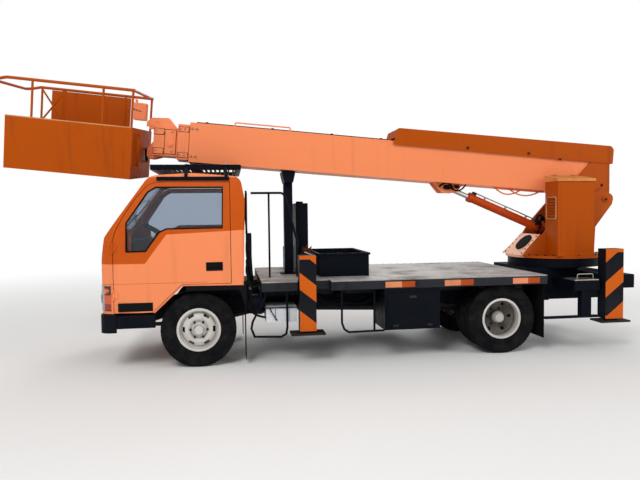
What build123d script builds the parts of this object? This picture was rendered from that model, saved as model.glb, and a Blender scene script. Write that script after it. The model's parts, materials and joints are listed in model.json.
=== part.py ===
from build123d import *
from math import asin, atan2, cos, degrees, hypot, radians, sin
import os

os.makedirs("parts", exist_ok=True)

# A light cab-over truck with a telescopic aerial work platform.
# Millimetres and degrees. X runs rearwards from the front axle, Y to the vehicle's
# right and Z up from the ground. save() moves every piece so that the file's origin
# is on the ground below the middle of the whole machine.

# Overall
front_reach = 2058
rear_reach = 5134
wheelbase = 3350

# Clearances
seat_gap = 0.3
pin_gap = 0.3
slide_gap = 0.5
door_gap = 6

# Wheels and tyres
tyre_radius = 395
tyre_width = 194
tread_width = 152
rim_radius = 212
rim_width = 152
rim_wall = 8
flange_height = 17
front_track_half = 700
twin_spacing = 225
rear_track_half = 635
spindle_radius = 30
hub_radius = 72

bulge_height = 92
wheel_sides = 36

# Chassis frame
rail_outer_half = 360
rail_flange = 60
rail_depth = 150
rail_web = 8
frame_top = 670
frame_drop = 95
frame_front = -930
frame_rear = 4799

# Cab
cab_half_width = 845
cab_front = -970
cab_rear = 500
cab_floor = 600
cab_bench_floor = 869
cab_roof = 2039
cab_belt = 1420
cab_roof_half_width = 775
cab_wall = 45
glass_depth = 20
glass_thickness = 6

# Deck
deck_top = 885
deck_plate = 25
deck_edge_depth = 100
deck_half_width = 930
deck_core_half_width = 780
deck_panel_half_width = 872
deck_panel_rear = 1036
deck_front = 660
deck_ledge_front = 1390
deck_rear = 3840

# Outriggers
jack_face = 950
jack_depth = 150
jack_top = 1160
jack_bottom = 365
leg_width = 110
leg_depth = 90
foot_length = 360
foot_width = 220
foot_thickness = 20
jack_stroke = 322
foot_bottom = jack_stroke + 3

# Turntable and turret
slew_x = 4450
ring_bottom = 920
ring_top = 1025
ring_radius = 560
flange_radius = 585
flange_thickness = 30
turret_plate = 25
turret_inner_half = 245
luff_x = 4984
luff_z = 1735
luff_pin_radius = 35
cylinder_base_x = 4330
cylinder_base_z = 1345
cylinder_pin_radius = 25
box_front = 4182
box_rear = 4652
box_outer = 560
box_top = 1948
box_lid_height = 80

# Boom, drawn level behind and before its luffing pin and then tilted up
boom_tilt = 4.6
boom_length = 5116
boom_bottom = 54
boom_top = 500
boom_half_width = 190
boom_wall = 10
cover_length = 2713
cover_height = 175
cover_half_width = 220
cover_wall = 10
middle_half_width = 150
middle_bottom = 98
middle_top = 456
middle_rear = -1100
tip_half_width = 112
tip_bottom = 136
tip_top = 418
tip_rear = -1500
collar_length = 125
collar_gap = 6
cylinder_eye_x = 3060
cylinder_eye_z = 1885

# Lift cylinder
barrel_radius = 52
barrel_bore = 40
barrel_length = 1126
gland_length = 60
rod_radius = 30
bore_start = 100
piston_start = 110
piston_length = 60

# Work basket, drawn level about its own centre and then set askew
basket_x = -1302
basket_y = -30
basket_z = 2089
basket_length = 1300
basket_width = 900
basket_height = 545
basket_rail_height = 383
basket_wall = 20
basket_pitch = 6
basket_lean = 5
basket_swing = -5
rail_radius = 16
basket_hoop_reach = 150

rail_inner_half = rail_outer_half - rail_flange
frame_bottom = frame_top - rail_depth
wheel_z = tyre_radius * cos(radians(180 / wheel_sides))
mid_length = (rear_reach - front_reach) / 2


def outline(points, radius=0):
    """A face with the given corners; radius is one value, or one per corner."""
    if radius == 0:
        return make_face(Polyline(*points, close=True))
    return make_face(FilletPolyline(*points, radius=radius, close=True))


def filled(plane, face, depth):
    """A flat face set on a plane and filled along the plane's own direction."""
    return extrude(plane * face, amount=depth, dir=plane.z_dir)


def from_side(points, y0, y1, radius=0):
    """An outline in X and Z, filled from y0 to y1."""
    return filled(Plane.XZ.offset(-y1), outline(points, radius), y1 - y0)


def from_front(points, x0, x1, radius=0):
    """An outline in Y and Z, filled from x0 to x1."""
    return filled(Plane.YZ.offset(x0), outline(points, radius), x1 - x0)


def from_top(points, z0, z1, radius=0):
    """An outline in X and Y, filled from z0 to z1."""
    return filled(Plane.XY.offset(z0), outline(points, radius), z1 - z0)


def block(x0, x1, y0, y1, z0, z1):
    """A rectangular block between two corners."""
    return Pos((x0 + x1) / 2, (y0 + y1) / 2, (z0 + z1) / 2) * Box(x1 - x0, y1 - y0, z1 - z0)


def bar(start, end, radius):
    """A round bar from one point to another."""
    axis = Vector(*end) - Vector(*start)
    return Part() + Solid.make_cylinder(radius, axis.length, Plane(origin=start, z_dir=axis))


def tube_path(points, radius, bend):
    """An eight-sided tube along straight runs that are joined by bends."""
    path = FilletPolyline(*points, radius=bend)
    section = Plane(origin=path @ 0, z_dir=path % 0) * RegularPolygon(radius, 8)
    return sweep(section, path=path)


def mitred_tube(points, radius):
    """An eight-sided tube along straight runs that meet in mitres."""
    path = Polyline(*points)
    section = Plane(origin=path @ 0, z_dir=path % 0) * RegularPolygon(radius, 8)
    return sweep(section, path=path, transition=Transition.RIGHT)


def rail(start, end, radius, sides=8):
    """A straight many-sided bar from one point to another."""
    axis = Vector(*end) - Vector(*start)
    plane = Plane(origin=start, z_dir=axis)
    return extrude(plane * RegularPolygon(radius, sides), amount=axis.length, dir=axis.normalized())


def planar_solid(faces):
    """A solid closed by flat faces."""
    solid = Solid(Shell(faces))
    return Part() + (solid if solid.volume > 0 else Solid(solid.wrapped.Reversed()))


def ring_of_corners(radius, z, sides):
    """Corners of a regular polygon round the Z axis."""
    angles = [radians(360 * (turn + 0.5) / sides) for turn in range(sides)]
    return [(radius * cos(angle), radius * sin(angle), z) for angle in angles]


def bands(low, high):
    """Flat faces between two rings of corners."""
    count = len(low)
    rows = [
        (low[turn], low[turn - count + 1], high[turn - count + 1], high[turn]) for turn in range(count)
    ]
    return [Face(Wire.make_polygon(corners)) for corners in rows]


def frustum(low_radius, low_z, high_radius, high_z, sides=wheel_sides):
    """A many-sided tapered disc between two heights; its corners lie on the given radii."""
    low = ring_of_corners(low_radius, low_z, sides)
    high = ring_of_corners(high_radius, high_z, sides)
    ends = [Face(Wire.make_polygon(low)), Face(Wire.make_polygon(high))]
    return planar_solid(ends + bands(low, high))


def spun(points, sides=wheel_sides):
    """A many-sided ring round Z from its section: radius, height."""
    rings = [ring_of_corners(radius, z, sides) for radius, z in points]
    faces = []
    for index, ring in enumerate(rings):
        faces += bands(ring, rings[index - len(rings) + 1])
    return planar_solid(faces)


def other_side(shape):
    """The same piece on the right of the vehicle."""
    return mirror(shape, about=Plane.XZ)


def both_sides(shape):
    """A left piece with its right twin."""
    return [shape, other_side(shape)]


def save(node, *shapes):
    """Writes one node from all the solids of the given shapes."""
    solids = [Pos(-mid_length, 0, 0) * solid for shape in shapes for solid in shape.solids()]
    whole = solids[0] if len(solids) == 1 else Compound(solids)
    export_step(whole, f"parts/{node}.step")


# ---- Cab ---------------------------------------------------------------------

def above_belt(share):
    """A height between the belt line and the roof, as a share of that rise."""
    return cab_belt + share * (cab_roof - cab_belt)


# Side view of the cab: X, Z, corner radius
cab_side = [
    (cab_front, cab_floor, 0),
    (cab_front, 1130, 150),
    (cab_front + 45, 1377, 90),
    (-470, cab_roof - 30, 160),
    (-50, cab_roof, 0),
    (cab_rear - 45, cab_roof - 42, 100),
    (cab_rear, above_belt(0.533), 0),
    (cab_rear - 24, cab_bench_floor - 8, 0),
    (-148, cab_bench_floor, 0),
    (-434, cab_floor, 0),
]

# Door edge seen from the side: X, Z
door_edge = [
    (-838, 606),
    (-838, 1339),
    (-806, above_belt(0.036)),
    (-722, above_belt(0.286)),
    (-598, above_belt(0.582)),
    (-484, above_belt(0.782)),
    (-403, above_belt(0.834)),
    (343, above_belt(0.834)),
    (343, 886),
    (-160, 886),
    (-440, 622),
    (-452, 606),
]
# Door window seen from the side: X, Z
door_window = [
    (-704, 1232),
    (-700, above_belt(0.165)),
    (-484, above_belt(0.675)),
    (-404, above_belt(0.753)),
    (272, above_belt(0.753)),
    (262, 1461),
    (-300, 1459),
    (-374, 1425),
    (-515, 1232),
]
screen_foot = (cab_front + 45, 1377)
screen_head = (-470, cab_roof - 30)


def grown(face, amount):
    """A flat face grown, or shrunk by a negative amount."""
    if amount == 0:
        return face
    return offset(face, amount=amount, kind=Kind.INTERSECTION)


def cab_cross_section(inset):
    """The cab seen from the front, filled over its whole length."""
    points = [
        (-cab_half_width, cab_floor - 200),
        (cab_half_width, cab_floor - 200),
        (cab_half_width, cab_belt),
        (cab_roof_half_width, cab_roof + 6),
        (-cab_roof_half_width, cab_roof + 6),
        (-cab_half_width, cab_belt),
    ]
    rounding = 110 if inset < cab_wall else 0
    face = grown(outline(points, [0, 0, 0, rounding, rounding, 0]), -inset)
    return filled(Plane.YZ.offset(cab_front - 100), face, cab_rear - cab_front + 200)


def cab_form(inset):
    """The cab's closed outer form, moved inwards by an even amount; sharp-cornered inside the wall."""
    rounded = inset < cab_wall
    side_points = [(x, z) for x, z, _ in cab_side]
    side_radii = [r if rounded else 0 for _, _, r in cab_side]
    side_face = grown(outline(side_points, side_radii), -inset)
    side = filled(Plane.XZ.offset(-cab_half_width - 50), side_face, 2 * cab_half_width + 100)
    nose = cab_front - 2
    tail = cab_rear + 2
    wide = cab_half_width + 2
    plan_points = [
        (nose, -wide + 32), (-560, -wide), (tail, -wide), (tail, wide), (-560, wide), (nose, wide - 32)
    ]
    plan_radii = [125, 0, 60, 60, 0, 125] if rounded else [0, 0, 0, 0, 0, 0]
    plan_face = grown(outline(plan_points, plan_radii), -inset)
    plan = filled(Plane.XY.offset(cab_floor - 100), plan_face, cab_roof - cab_floor + 200)
    return side & plan & cab_cross_section(inset)


def side_prism(points, growth, inner, outer):
    """A side-view outline on the left side, from |Y| = inner to outer."""
    face = grown(outline(points), growth)
    return filled(Plane.XZ.offset(inner), face, outer - inner)


def screen_prism(growth):
    """The windscreen's opening, square to the sloping glass."""
    run = hypot(screen_head[0] - screen_foot[0], screen_head[1] - screen_foot[1])
    middle_x = (screen_head[0] + screen_foot[0]) / 2
    middle_z = (screen_head[1] + screen_foot[1]) / 2
    outward = (screen_foot[1] - screen_head[1], 0, screen_head[0] - screen_foot[0])
    plane = Plane(origin=(middle_x, 0, middle_z), x_dir=(0, 1, 0), z_dir=outward)
    half_run = run / 2 - 75
    points = [(-690, -half_run), (690, -half_run), (640, half_run), (-640, half_run)]
    if (plane.y_dir.Z) < 0:
        points = [(y, -v) for y, v in points]
    face = grown(outline(points, 60), growth)
    return filled(plane.offset(-150), face, 300)


def rear_window_prism(growth):
    """The rear window's opening."""
    points = [(-560, 1380), (560, 1380), (560, above_belt(0.55)), (-560, above_belt(0.55))]
    face = grown(outline(points, 50), growth)
    return filled(Plane.YZ.offset(cab_rear - 150), face, 300)


def lamp_prism(growth):
    """Space of a headlamp cluster at the left front corner."""
    return block(
        cab_front - 50, -868 + growth, -cab_half_width - 50, -500 + growth, 632 - growth, 884 + growth
    )


cab_outer = cab_form(0)
cab_shell = cab_outer - cab_form(cab_wall)
glass_skin = cab_form(glass_depth) - cab_form(glass_depth + glass_thickness)
lamp_skin = cab_form(-6) - cab_form(28)
lamp_seat = cab_form(-8) - cab_form(28 + seat_gap)

door_slab = cab_outer - cab_cross_section(cab_wall)
door_hole_slab = cab_form(-2) - cab_cross_section(cab_wall + door_gap)
door_hole = side_prism(door_edge, door_gap, 0, cab_half_width + 80) & door_hole_slab
window_hole = side_prism(door_window, 0, 500, cab_half_width + 80)
door_panel = (side_prism(door_edge, 0, 0, cab_half_width + 80) & door_slab) - window_hole
door_pane = side_prism(door_window, -seat_gap, 500, cab_half_width + 80) & glass_skin

cab_shell -= door_hole
cab_shell -= other_side(door_hole)
cab_shell -= screen_prism(0)
cab_shell -= rear_window_prism(0)
lamp_hole = lamp_prism(seat_gap) & lamp_seat
cab_shell -= lamp_hole
cab_shell -= other_side(lamp_hole)

hinge_x = door_edge[0][0] - door_gap / 2
hinge_y = -cab_half_width + 30 * (-560 - hinge_x) / (-560 - cab_front) - 11
hinge_pin_radius = 5
hinge_radius = 9
hinge_heights = [760, 1240]
hinge_height = 60


def door_hinges():
    """Knuckles for the left door, and the pins and lugs that the cab holds them with."""
    knuckles = None
    lugs = None
    for z in hinge_heights:
        barrel = bar((hinge_x, hinge_y, z), (hinge_x, hinge_y, z + hinge_height), hinge_radius)
        leaf = block(hinge_x, hinge_x + 45, hinge_y, hinge_y + 24, z, z + hinge_height)
        bore = bar(
            (hinge_x, hinge_y, z), (hinge_x, hinge_y, z + hinge_height), hinge_pin_radius + pin_gap
        )
        knuckle = barrel + leaf - bore
        knuckles = knuckle if knuckles is None else knuckles + knuckle
        pin = rail(
            (hinge_x, hinge_y, z - 25), (hinge_x, hinge_y, z + hinge_height + 25), hinge_pin_radius
        )
        for low in (z - 25, z + hinge_height + slide_gap):
            high = low + 25 - slide_gap
            lug = block(hinge_x - 24, hinge_x, hinge_y, hinge_y + 24, low, high)
            lug += block(hinge_x - 7, hinge_x + 7, hinge_y - 7, hinge_y + 7, low, high)
            pin += lug
        lugs = pin if lugs is None else lugs + pin
    return knuckles, lugs


door_knuckles, hinge_lugs = door_hinges()
door_panel += door_knuckles
cab_shell += hinge_lugs
cab_shell += other_side(hinge_lugs)

save("cab_shell", cab_shell)
save("door_left", door_panel)
save("door_right", other_side(door_panel))
save("door_glass_left", door_pane)
save("door_glass_right", other_side(door_pane))
save("cab_glass", screen_prism(-seat_gap) & glass_skin, rear_window_prism(-seat_gap) & glass_skin)
save("front_lamps", *both_sides(lamp_prism(0) & lamp_skin))

# Cab front and inside
grille_low = 655
grille_high = 860
grille_half = 470
slat_count = 5


def grille():
    """A dark panel with level slats between the lamps."""
    frame = block(cab_front - 16, cab_front, -grille_half, grille_half, grille_low, grille_high)
    pitch = (grille_high - grille_low) / slat_count
    for row in range(slat_count):
        z = grille_low + pitch * row + 8
        frame -= block(
            cab_front - 17, cab_front - 5, -grille_half + 14, grille_half - 14, z, z + pitch - 16
        )
    return frame


save("grille", grille())

inner_form = cab_form(cab_wall + seat_gap)
bench_top = cab_bench_floor + cab_wall
dashboard = block(-905, -640, -780, 780, 1120, 1330) & inner_form
dashboard = dashboard - block(-700, -600, -780, 780, 1050, 1180)
save("dashboard", dashboard)


def seat(y0, y1):
    """A cushion on the floor with a back that leans on the cab's rear wall."""
    cushion = from_side(
        [(-130, bench_top), (350, bench_top), (350, 1120), (-130, 1150)], y0, y1, [0, 0, 0, 50]
    )
    back = from_side([(285, 1115), (365, 1120), (445, 1640), (370, 1650)], y0, y1, [0, 0, 30, 30])
    return cushion + back


save("seats", seat(-740, 150) & inner_form, seat(220, 740) & inner_form)

wheel_y = 400
wheel_tilt = 32
steering_plane = Plane(
    origin=(-520, wheel_y, 1390), z_dir=(sin(radians(wheel_tilt)), 0, cos(radians(wheel_tilt)))
)
steering_rim = steering_plane * spun([(193, 0), (205, -13), (217, 0), (205, 13)], 20)
column_end = steering_plane.origin - steering_plane.z_dir * 195
spokes = steering_plane * (Box(400, 30, 10) + Cylinder(38, 30))
column = bar(steering_plane.origin, column_end, 22)
save("steering_wheel", (steering_rim + spokes + column) - dashboard)

# Front bumper with its side skirts
bumper_low = 405
bumper_high = 588
bumper_wall = 40


def bumper():
    """A wrap-round bumper that runs back under the doors."""
    points = [
        (-985, -cab_half_width),
        (-820, -cab_half_width),
        (-820, cab_half_width),
        (-985, cab_half_width),
    ]
    face = outline(points, [110, 0, 0, 110])
    whole = filled(Plane.XY.offset(bumper_low), face, bumper_high - bumper_low)
    hollow = block(
        -985 + bumper_wall, -800, -cab_half_width + bumper_wall, cab_half_width - bumper_wall, 0, 900
    )
    shape = whole - hollow
    skirt = block(-821, -435, -cab_half_width + 8, -cab_half_width + 8 + bumper_wall, 445, 570)
    bracket_x = frame_front
    for y in (-rail_outer_half, rail_inner_half):
        shape += block(-985 + bumper_wall - 1, bracket_x - seat_gap, y, y + rail_flange, 450, 550)
    return shape + skirt + other_side(skirt)


save("front_bumper", bumper())

# Roof guard
guard_top = cab_roof + 96
guard_thickness = 55


def roof_guard():
    """Gutter rails, posts and a padded frame that shields the roof from the boom."""
    frame = block(-480, 470, -600, 600, guard_top - guard_thickness, guard_top)
    frame -= block(-420, -40, -540, 540, guard_top - 100, guard_top + 10)
    frame -= block(20, 410, -540, 540, guard_top - 100, guard_top + 10)
    gutter_z = cab_roof - 84
    gutter = block(
        -393, 341, -cab_roof_half_width - 26, -cab_roof_half_width + 14, gutter_z, gutter_z + 40
    ) - cab_form(-seat_gap)
    pieces = gutter
    for x in (-100, 310):
        pieces += from_front(
            [
                (-799, gutter_z),
                (-774, gutter_z + 20),
                (-560, guard_top - 5),
                (-600, guard_top - 5),
                (-799, gutter_z + 60),
            ],
            x - 15,
            x + 15,
        ) - cab_form(-seat_gap)
    return frame + pieces + other_side(pieces)


save("roof_guard", roof_guard())

# ---- Chassis -------------------------------------------------------------------

drop_top = frame_top - frame_drop


def rail_outline(inset):
    """Side view of a frame rail, lower under the front of the cab."""
    return [
        (frame_front, drop_top - rail_depth + inset),
        (-520, drop_top - rail_depth + inset),
        (-220, frame_bottom + inset),
        (frame_rear, frame_bottom + inset),
        (frame_rear, frame_top - inset),
        (-200, frame_top - inset),
        (-500, drop_top - inset),
        (frame_front, drop_top - inset),
    ]


def chassis_frame():
    """Two channel rails and their cross members."""
    channel = from_side(rail_outline(0), -rail_outer_half, -rail_inner_half)
    channel -= from_side(rail_outline(rail_web), -rail_outer_half + rail_web, -rail_inner_half + 1)
    frame = channel + other_side(channel)
    inner = rail_outer_half - rail_web + 1
    # Cross members: middle X, lowest Z
    for x, z in ((-760, drop_top - 120), (760, 540), (1700, 540), (2650, 540), (4100, 540), (4700, 540)):
        frame += block(x - 35, x + 35, -inner, inner, z, z + 90)
    # Cab mounts: front X, rear X, height of the frame there, underside of the cab
    for x0, x1, low, high in (
        (-900, -820, drop_top, cab_floor), (-620, -540, drop_top, cab_floor), (330, 410, frame_top, 862)
    ):
        mount = block(x0, x1, -rail_outer_half, -rail_inner_half, low - 1, high - seat_gap)
        frame += mount + other_side(mount)
    return frame


save("chassis_frame", chassis_frame())
engine = block(-140, 640, -235, 235, 455, 845)
mount_reach = rail_outer_half - rail_web - seat_gap
engine += block(200, 300, -mount_reach, mount_reach, 560, 620)
save("engine_block", engine)


def leaf_spring(axle_x, seat_z, eye_front, eye_rear):
    """A bowed pack of leaves below the left rail, seated on the axle."""
    thick = 44
    lower = ThreePointArc(
        (axle_x - 540, eye_front - thick), (axle_x, seat_z), (axle_x + 540, eye_rear - thick)
    )
    upper = ThreePointArc(
        (axle_x - 540, eye_front - 14), (axle_x, seat_z + thick), (axle_x + 540, eye_rear - 14)
    )
    face = make_face([lower, Line(lower @ 1, upper @ 1), upper, Line(upper @ 0, lower @ 0)])
    pack = filled(Plane.XZ.offset(rail_inner_half), face, rail_flange)
    front_eye = block(
        axle_x - 570,
        axle_x - 500,
        -rail_outer_half,
        -rail_inner_half,
        eye_front - thick,
        eye_front - seat_gap,
    )
    rear_eye = block(
        axle_x + 500,
        axle_x + 570,
        -rail_outer_half,
        -rail_inner_half,
        eye_rear - thick,
        eye_rear - seat_gap,
    )
    return pack + front_eye + rear_eye


beam_top = wheel_z - 8
spring_rise = 3.4
rear_tube_radius = 58
rear_seat_z = wheel_z + rear_tube_radius + 8
front_eye_z = drop_top - rail_depth
front_springs = leaf_spring(0, beam_top + spring_rise, front_eye_z, frame_bottom)
rear_springs = leaf_spring(wheelbase, rear_seat_z, frame_bottom, frame_bottom)
save("leaf_springs", *both_sides(front_springs), *both_sides(rear_springs))

# Front axle and knuckles
kingpin_half = 600
kingpin_radius = 15
eye_half_height = 42


def front_axle():
    """A dropped beam with an upright eye at each end."""
    points = [
        (-kingpin_half, wheel_z - 31),
        (-520, wheel_z - 35),
        (-420, beam_top - 75),
        (420, beam_top - 75),
        (520, wheel_z - 35),
        (kingpin_half, wheel_z - 31),
        (kingpin_half, wheel_z + 17),
        (420, beam_top),
        (-420, beam_top),
        (-kingpin_half, wheel_z + 17),
    ]
    beam = from_front(points, -32, 32)
    for side in (-1, 1):
        y = side * kingpin_half
        beam += rail((0, y, wheel_z - eye_half_height), (0, y, wheel_z + eye_half_height), 36, 12)
        beam -= bar((0, y, 200), (0, y, 600), kingpin_radius + pin_gap)
    return beam


def knuckle():
    """Left steering knuckle: a fork round the beam's eye, its kingpin and the wheel spindle."""
    low = wheel_z - eye_half_height - slide_gap
    high = wheel_z + eye_half_height + slide_gap
    back = -kingpin_half - 42
    fork = block(-34, 34, back - 22, -kingpin_half + 30, low - 24, low)
    fork += block(-34, 34, back - 22, -kingpin_half + 30, high, high + 24)
    fork += block(-34, 34, back - 22, back, low - 24, high + 24)
    pin = bar((0, -kingpin_half, low - 24), (0, -kingpin_half, high + 24), kingpin_radius)
    spindle = bar((0, back, wheel_z), (0, -front_track_half - 50, wheel_z), spindle_radius)
    return fork + pin + spindle


save("front_axle", front_axle())
save("knuckle_left", knuckle())
save("knuckle_right", other_side(knuckle()))


def rear_axle():
    """A tube with its differential housing and the wheel spindles."""
    end = rear_track_half - 95
    tube = rail((wheelbase, -end, wheel_z), (wheelbase, end, wheel_z), rear_tube_radius, 12)
    housing = rail((wheelbase, -90, wheel_z), (wheelbase, 90, wheel_z), 140, 12)
    nose = rail((wheelbase - 260, 0, wheel_z), (wheelbase, 0, wheel_z), 70)
    spindle = bar(
        (wheelbase, -rear_track_half - 120, wheel_z),
        (wheelbase, rear_track_half + 120, wheel_z),
        spindle_radius,
    )
    seat = block(
        wheelbase - 50,
        wheelbase + 50,
        -rail_outer_half,
        -rail_inner_half,
        wheel_z,
        rear_seat_z - seat_gap,
    )
    return tube + housing + nose + spindle + seat + other_side(seat)


save("rear_axle", rear_axle())

# ---- Wheels, drawn about Z with the outer face upwards -----------------------------


def tyre():
    """A tyre section with flat tread and slightly bulging walls."""
    half_bead = rim_width / 2 - 8
    bore = rim_radius + seat_gap
    bulge = bore + bulge_height
    return spun(
        [
            (bore, -half_bead),
            (bulge, -tyre_width / 2),
            (tyre_radius, -tread_width / 2),
            (tyre_radius, tread_width / 2),
            (bulge, tyre_width / 2),
            (bore, half_bead),
        ]
    )


def rim_barrel():
    """Rim well with a flange on the outer side that holds the bead."""
    half = rim_width / 2
    well = rim_radius - rim_wall
    flange = rim_radius + flange_height
    return spun(
        [(well, -half), (rim_radius, -half), (rim_radius, half - 7), (flange, half), (well, half)]
    )


def place_wheel(shape, x, half_track):
    """Turns a wheel's outer face to the left and sets it on its axle."""
    return Pos(x, -half_track, wheel_z) * Rot(90, 0, 0) * shape


def front_wheel():
    """Front rim with a bulging disc, six slots and a capped hub."""
    edge = rim_radius - rim_wall + 1
    bulge = frustum(edge, 18, 137, 54) + frustum(edge, 6, edge, 18)
    disc = bulge - frustum(edge + 1, 5, 137, 42) - frustum(100, 48, 118, 55)
    disc -= frustum(60, 30, 60, 60)
    for turn in range(6):
        disc -= Rot(0, 0, 60 * turn) * Pos(158, 0, 30) * Box(26, 62, 80)
    hub = frustum(hub_radius, -20, hub_radius, 60) + frustum(hub_radius, 60, 50, 84)
    hub -= Pos(0, 0, 15) * Cylinder(spindle_radius + pin_gap, 76)
    return rim_barrel() + disc + hub


def rear_wheels():
    """Twin rims whose dished discs meet on one hub; heights from the joint between them."""
    half = twin_spacing / 2
    edge = rim_radius - rim_wall + 1
    outer = Pos(0, 0, half) * rim_barrel()
    inner = Pos(0, 0, -half) * frustum(rim_radius, -rim_width / 2, rim_radius, rim_width / 2)
    inner -= Pos(0, 0, -half) * frustum(edge - 1, -rim_width / 2 - 1, edge - 1, rim_width / 2 + 1)
    dish = frustum(edge, 0, edge, 58) - frustum(128, 12, edge - 1, 59) - frustum(
        edge + 1, -1, edge + 1, 0
    )
    dish -= frustum(edge + 1, -1, edge + 1, 46) - frustum(128, -1, 128, 0) - frustum(128, 0, edge, 46)
    dish -= frustum(60, -5, 60, 20)
    for turn in range(6):
        dish -= Rot(0, 0, 60 * turn) * Pos(162, 0, 30) * extrude(
            RegularPolygon(20, 8), amount=80, both=True
        )
    disc = frustum(edge, -58, edge, -46)
    hub = frustum(hub_radius, -90, hub_radius, 90) + frustum(hub_radius, 90, 56, 130)
    hub -= Pos(0, 0, 10) * Cylinder(spindle_radius + pin_gap, 230)
    return outer + inner + dish + (disc - frustum(60, -60, 60, -40)) + hub


front_rim = place_wheel(front_wheel(), 0, front_track_half)
front_tyre = place_wheel(tyre(), 0, front_track_half)
rear_rims = place_wheel(rear_wheels(), wheelbase, rear_track_half)
rear_tyres = [
    place_wheel(tyre(), wheelbase, rear_track_half + twin_spacing / 2),
    place_wheel(tyre(), wheelbase, rear_track_half - twin_spacing / 2),
]
save("front_wheel_left", front_rim)
save("front_wheel_right", other_side(front_rim))
save("front_tyre_left", front_tyre)
save("front_tyre_right", other_side(front_tyre))
save("rear_wheels_left", rear_rims)
save("rear_wheels_right", other_side(rear_rims))
save("rear_tyres_left", *rear_tyres)
save("rear_tyres_right", *[other_side(ring) for ring in rear_tyres])

# ---- Deck and what stands on it ------------------------------------------------------

deck_bottom = deck_top - deck_edge_depth


def deck():
    """A sheet on cross bearers with deep side edges, narrower before the ledge."""
    plan = [
        (deck_front, -deck_panel_half_width),
        (deck_panel_rear, -deck_panel_half_width),
        (deck_panel_rear, -deck_core_half_width),
        (deck_ledge_front, -deck_core_half_width),
        (deck_ledge_front, -deck_half_width),
        (deck_rear, -deck_half_width),
        (deck_rear, deck_half_width),
        (deck_ledge_front, deck_half_width),
        (deck_ledge_front, deck_core_half_width),
        (deck_panel_rear, deck_core_half_width),
        (deck_panel_rear, deck_panel_half_width),
        (deck_front, deck_panel_half_width),
    ]
    whole = from_top(plan, deck_bottom, deck_top)
    pocket = filled(
        Plane.XY.offset(deck_bottom - 1), grown(outline(plan), -40), deck_edge_depth - deck_plate + 1
    )
    shape = whole - pocket
    for x in (1090, 1700, 2320, 2950, 3500):
        shape += block(
            x,
            x + 60,
            -deck_core_half_width + 1,
            deck_core_half_width - 1,
            deck_bottom,
            deck_top - deck_plate + 1,
        )
    for y in (-rail_outer_half, rail_inner_half):
        shape += block(deck_front, deck_rear, y, y + rail_flange, frame_top, deck_top - deck_plate + 1)
    return shape


save("deck", deck())

# Side lockers between the outrigger and the rear wheels
save("side_lockers", *both_sides(block(1970, 2590, -deck_half_width + 10, -470, 335, deck_bottom)))
save(
    "battery_box",
    block(705, 1034, -820, -470, 450, 610) + block(760, 980, -480, -rail_outer_half - seat_gap, 560, 600),
)

# Step rails
step_radius = 12
step_front_y = -856
step_side_y = -900


def step_rails():
    """A stirrup ahead of the outrigger and a longer one below the deck's edge."""
    top = deck_bottom - seat_gap
    stirrup_line = [
        (690, top),
        (690, 720),
        (560, 470),
        (546, 400),
        (578, 312),
        (860, 300),
        (912, 330),
        (925, 400),
        (925, top),
    ]
    stirrup = mitred_tube([(x, step_front_y, z) for x, z in stirrup_line], step_radius)
    side_line = [(1505, top), (1505, 430), (1530, 360), (1580, 328), (1970, 332)]
    side = mitred_tube([(x, step_side_y, z) for x, z in side_line], step_radius)
    side += rail((1860, step_side_y, deck_bottom - seat_gap), (1860, step_side_y, 331), step_radius)
    side += rail((1506, step_side_y, 590), (1859, step_side_y, 590), step_radius * 0.8)
    return both_sides(stirrup) + both_sides(side)


save("step_rails", *step_rails())

# Mudflaps: a thin sheet behind each wheel, with a bracket to the frame
flap = 8


def mudflaps():
    """Front flaps on a hanger from the frame, rear ones below the deck."""
    front = block(486, 486 + flap, -800, -560, 60, 640)
    front += block(486, 486 + flap + 22, -800, -rail_outer_half, 600, 640)
    rear = block(3812, 3812 + flap, -900, -450, 170, deck_bottom)
    return both_sides(front) + both_sides(rear)


save("mudflaps", *mudflaps())


def wheel_arch():
    """A dark liner below the cab that runs over the front wheel and down behind it."""
    points = [(-120, 812), (430, 812), (484, 641), (502, 641), (502, 900), (-120, 900)]
    return from_side(points, -cab_half_width + 6, -560) - cab_form(-seat_gap)


save("wheel_arches", *both_sides(wheel_arch()))

# Boom rest, tank, tray and handrail
rest_x0 = 981
rest_x1 = 1083
rest_clearance = 6


def boom_floor(x):
    """Height of the boom's lower face above a place behind the front axle."""
    return luff_z + (boom_bottom + (luff_x - x) * sin(radians(boom_tilt))) / cos(radians(boom_tilt))


rest_top = boom_floor(rest_x1 + 25) - rest_clearance


def boom_rest():
    """An upright box post with a flared head."""
    post = block(rest_x0, rest_x1, -50, 50, deck_top, rest_top - 60)
    head = from_side(
        [
            (rest_x0, rest_top - 130),
            (rest_x1, rest_top - 130),
            (rest_x1 + 25, rest_top - 25),
            (rest_x1 + 25, rest_top),
            (rest_x0 - 25, rest_top),
            (rest_x0 - 25, rest_top - 25),
        ],
        -150,
        150,
    )
    foot = block(rest_x0 - 50, rest_x1 + 50, -110, 110, deck_top, deck_top + 12)
    return post + head + foot


save("boom_rest", boom_rest())
save(
    "oil_tank",
    block(1140, 1290, 140, 620, deck_top, 1727) + bar((1215, 380, 1720), (1215, 380, 1752), 45),
)


def tool_tray():
    """An open bin with a turned rim."""
    x0, x1, y0, y1 = 1330, 1900, -500, 420
    bin_shape = block(x0, x1, y0, y1, deck_top, 1145) - block(
        x0 + 14, x1 - 14, y0 + 14, y1 - 14, deck_top + 14, 1200
    )
    rim = block(x0 - 14, x1 + 14, y0 - 14, y1 + 14, 1125, 1150) - block(
        x0 + 1, x1 - 1, y0 + 1, y1 - 1, 1100, 1200
    )
    return bin_shape + rim


save("tool_tray", tool_tray())

rail_y = -400


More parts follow.
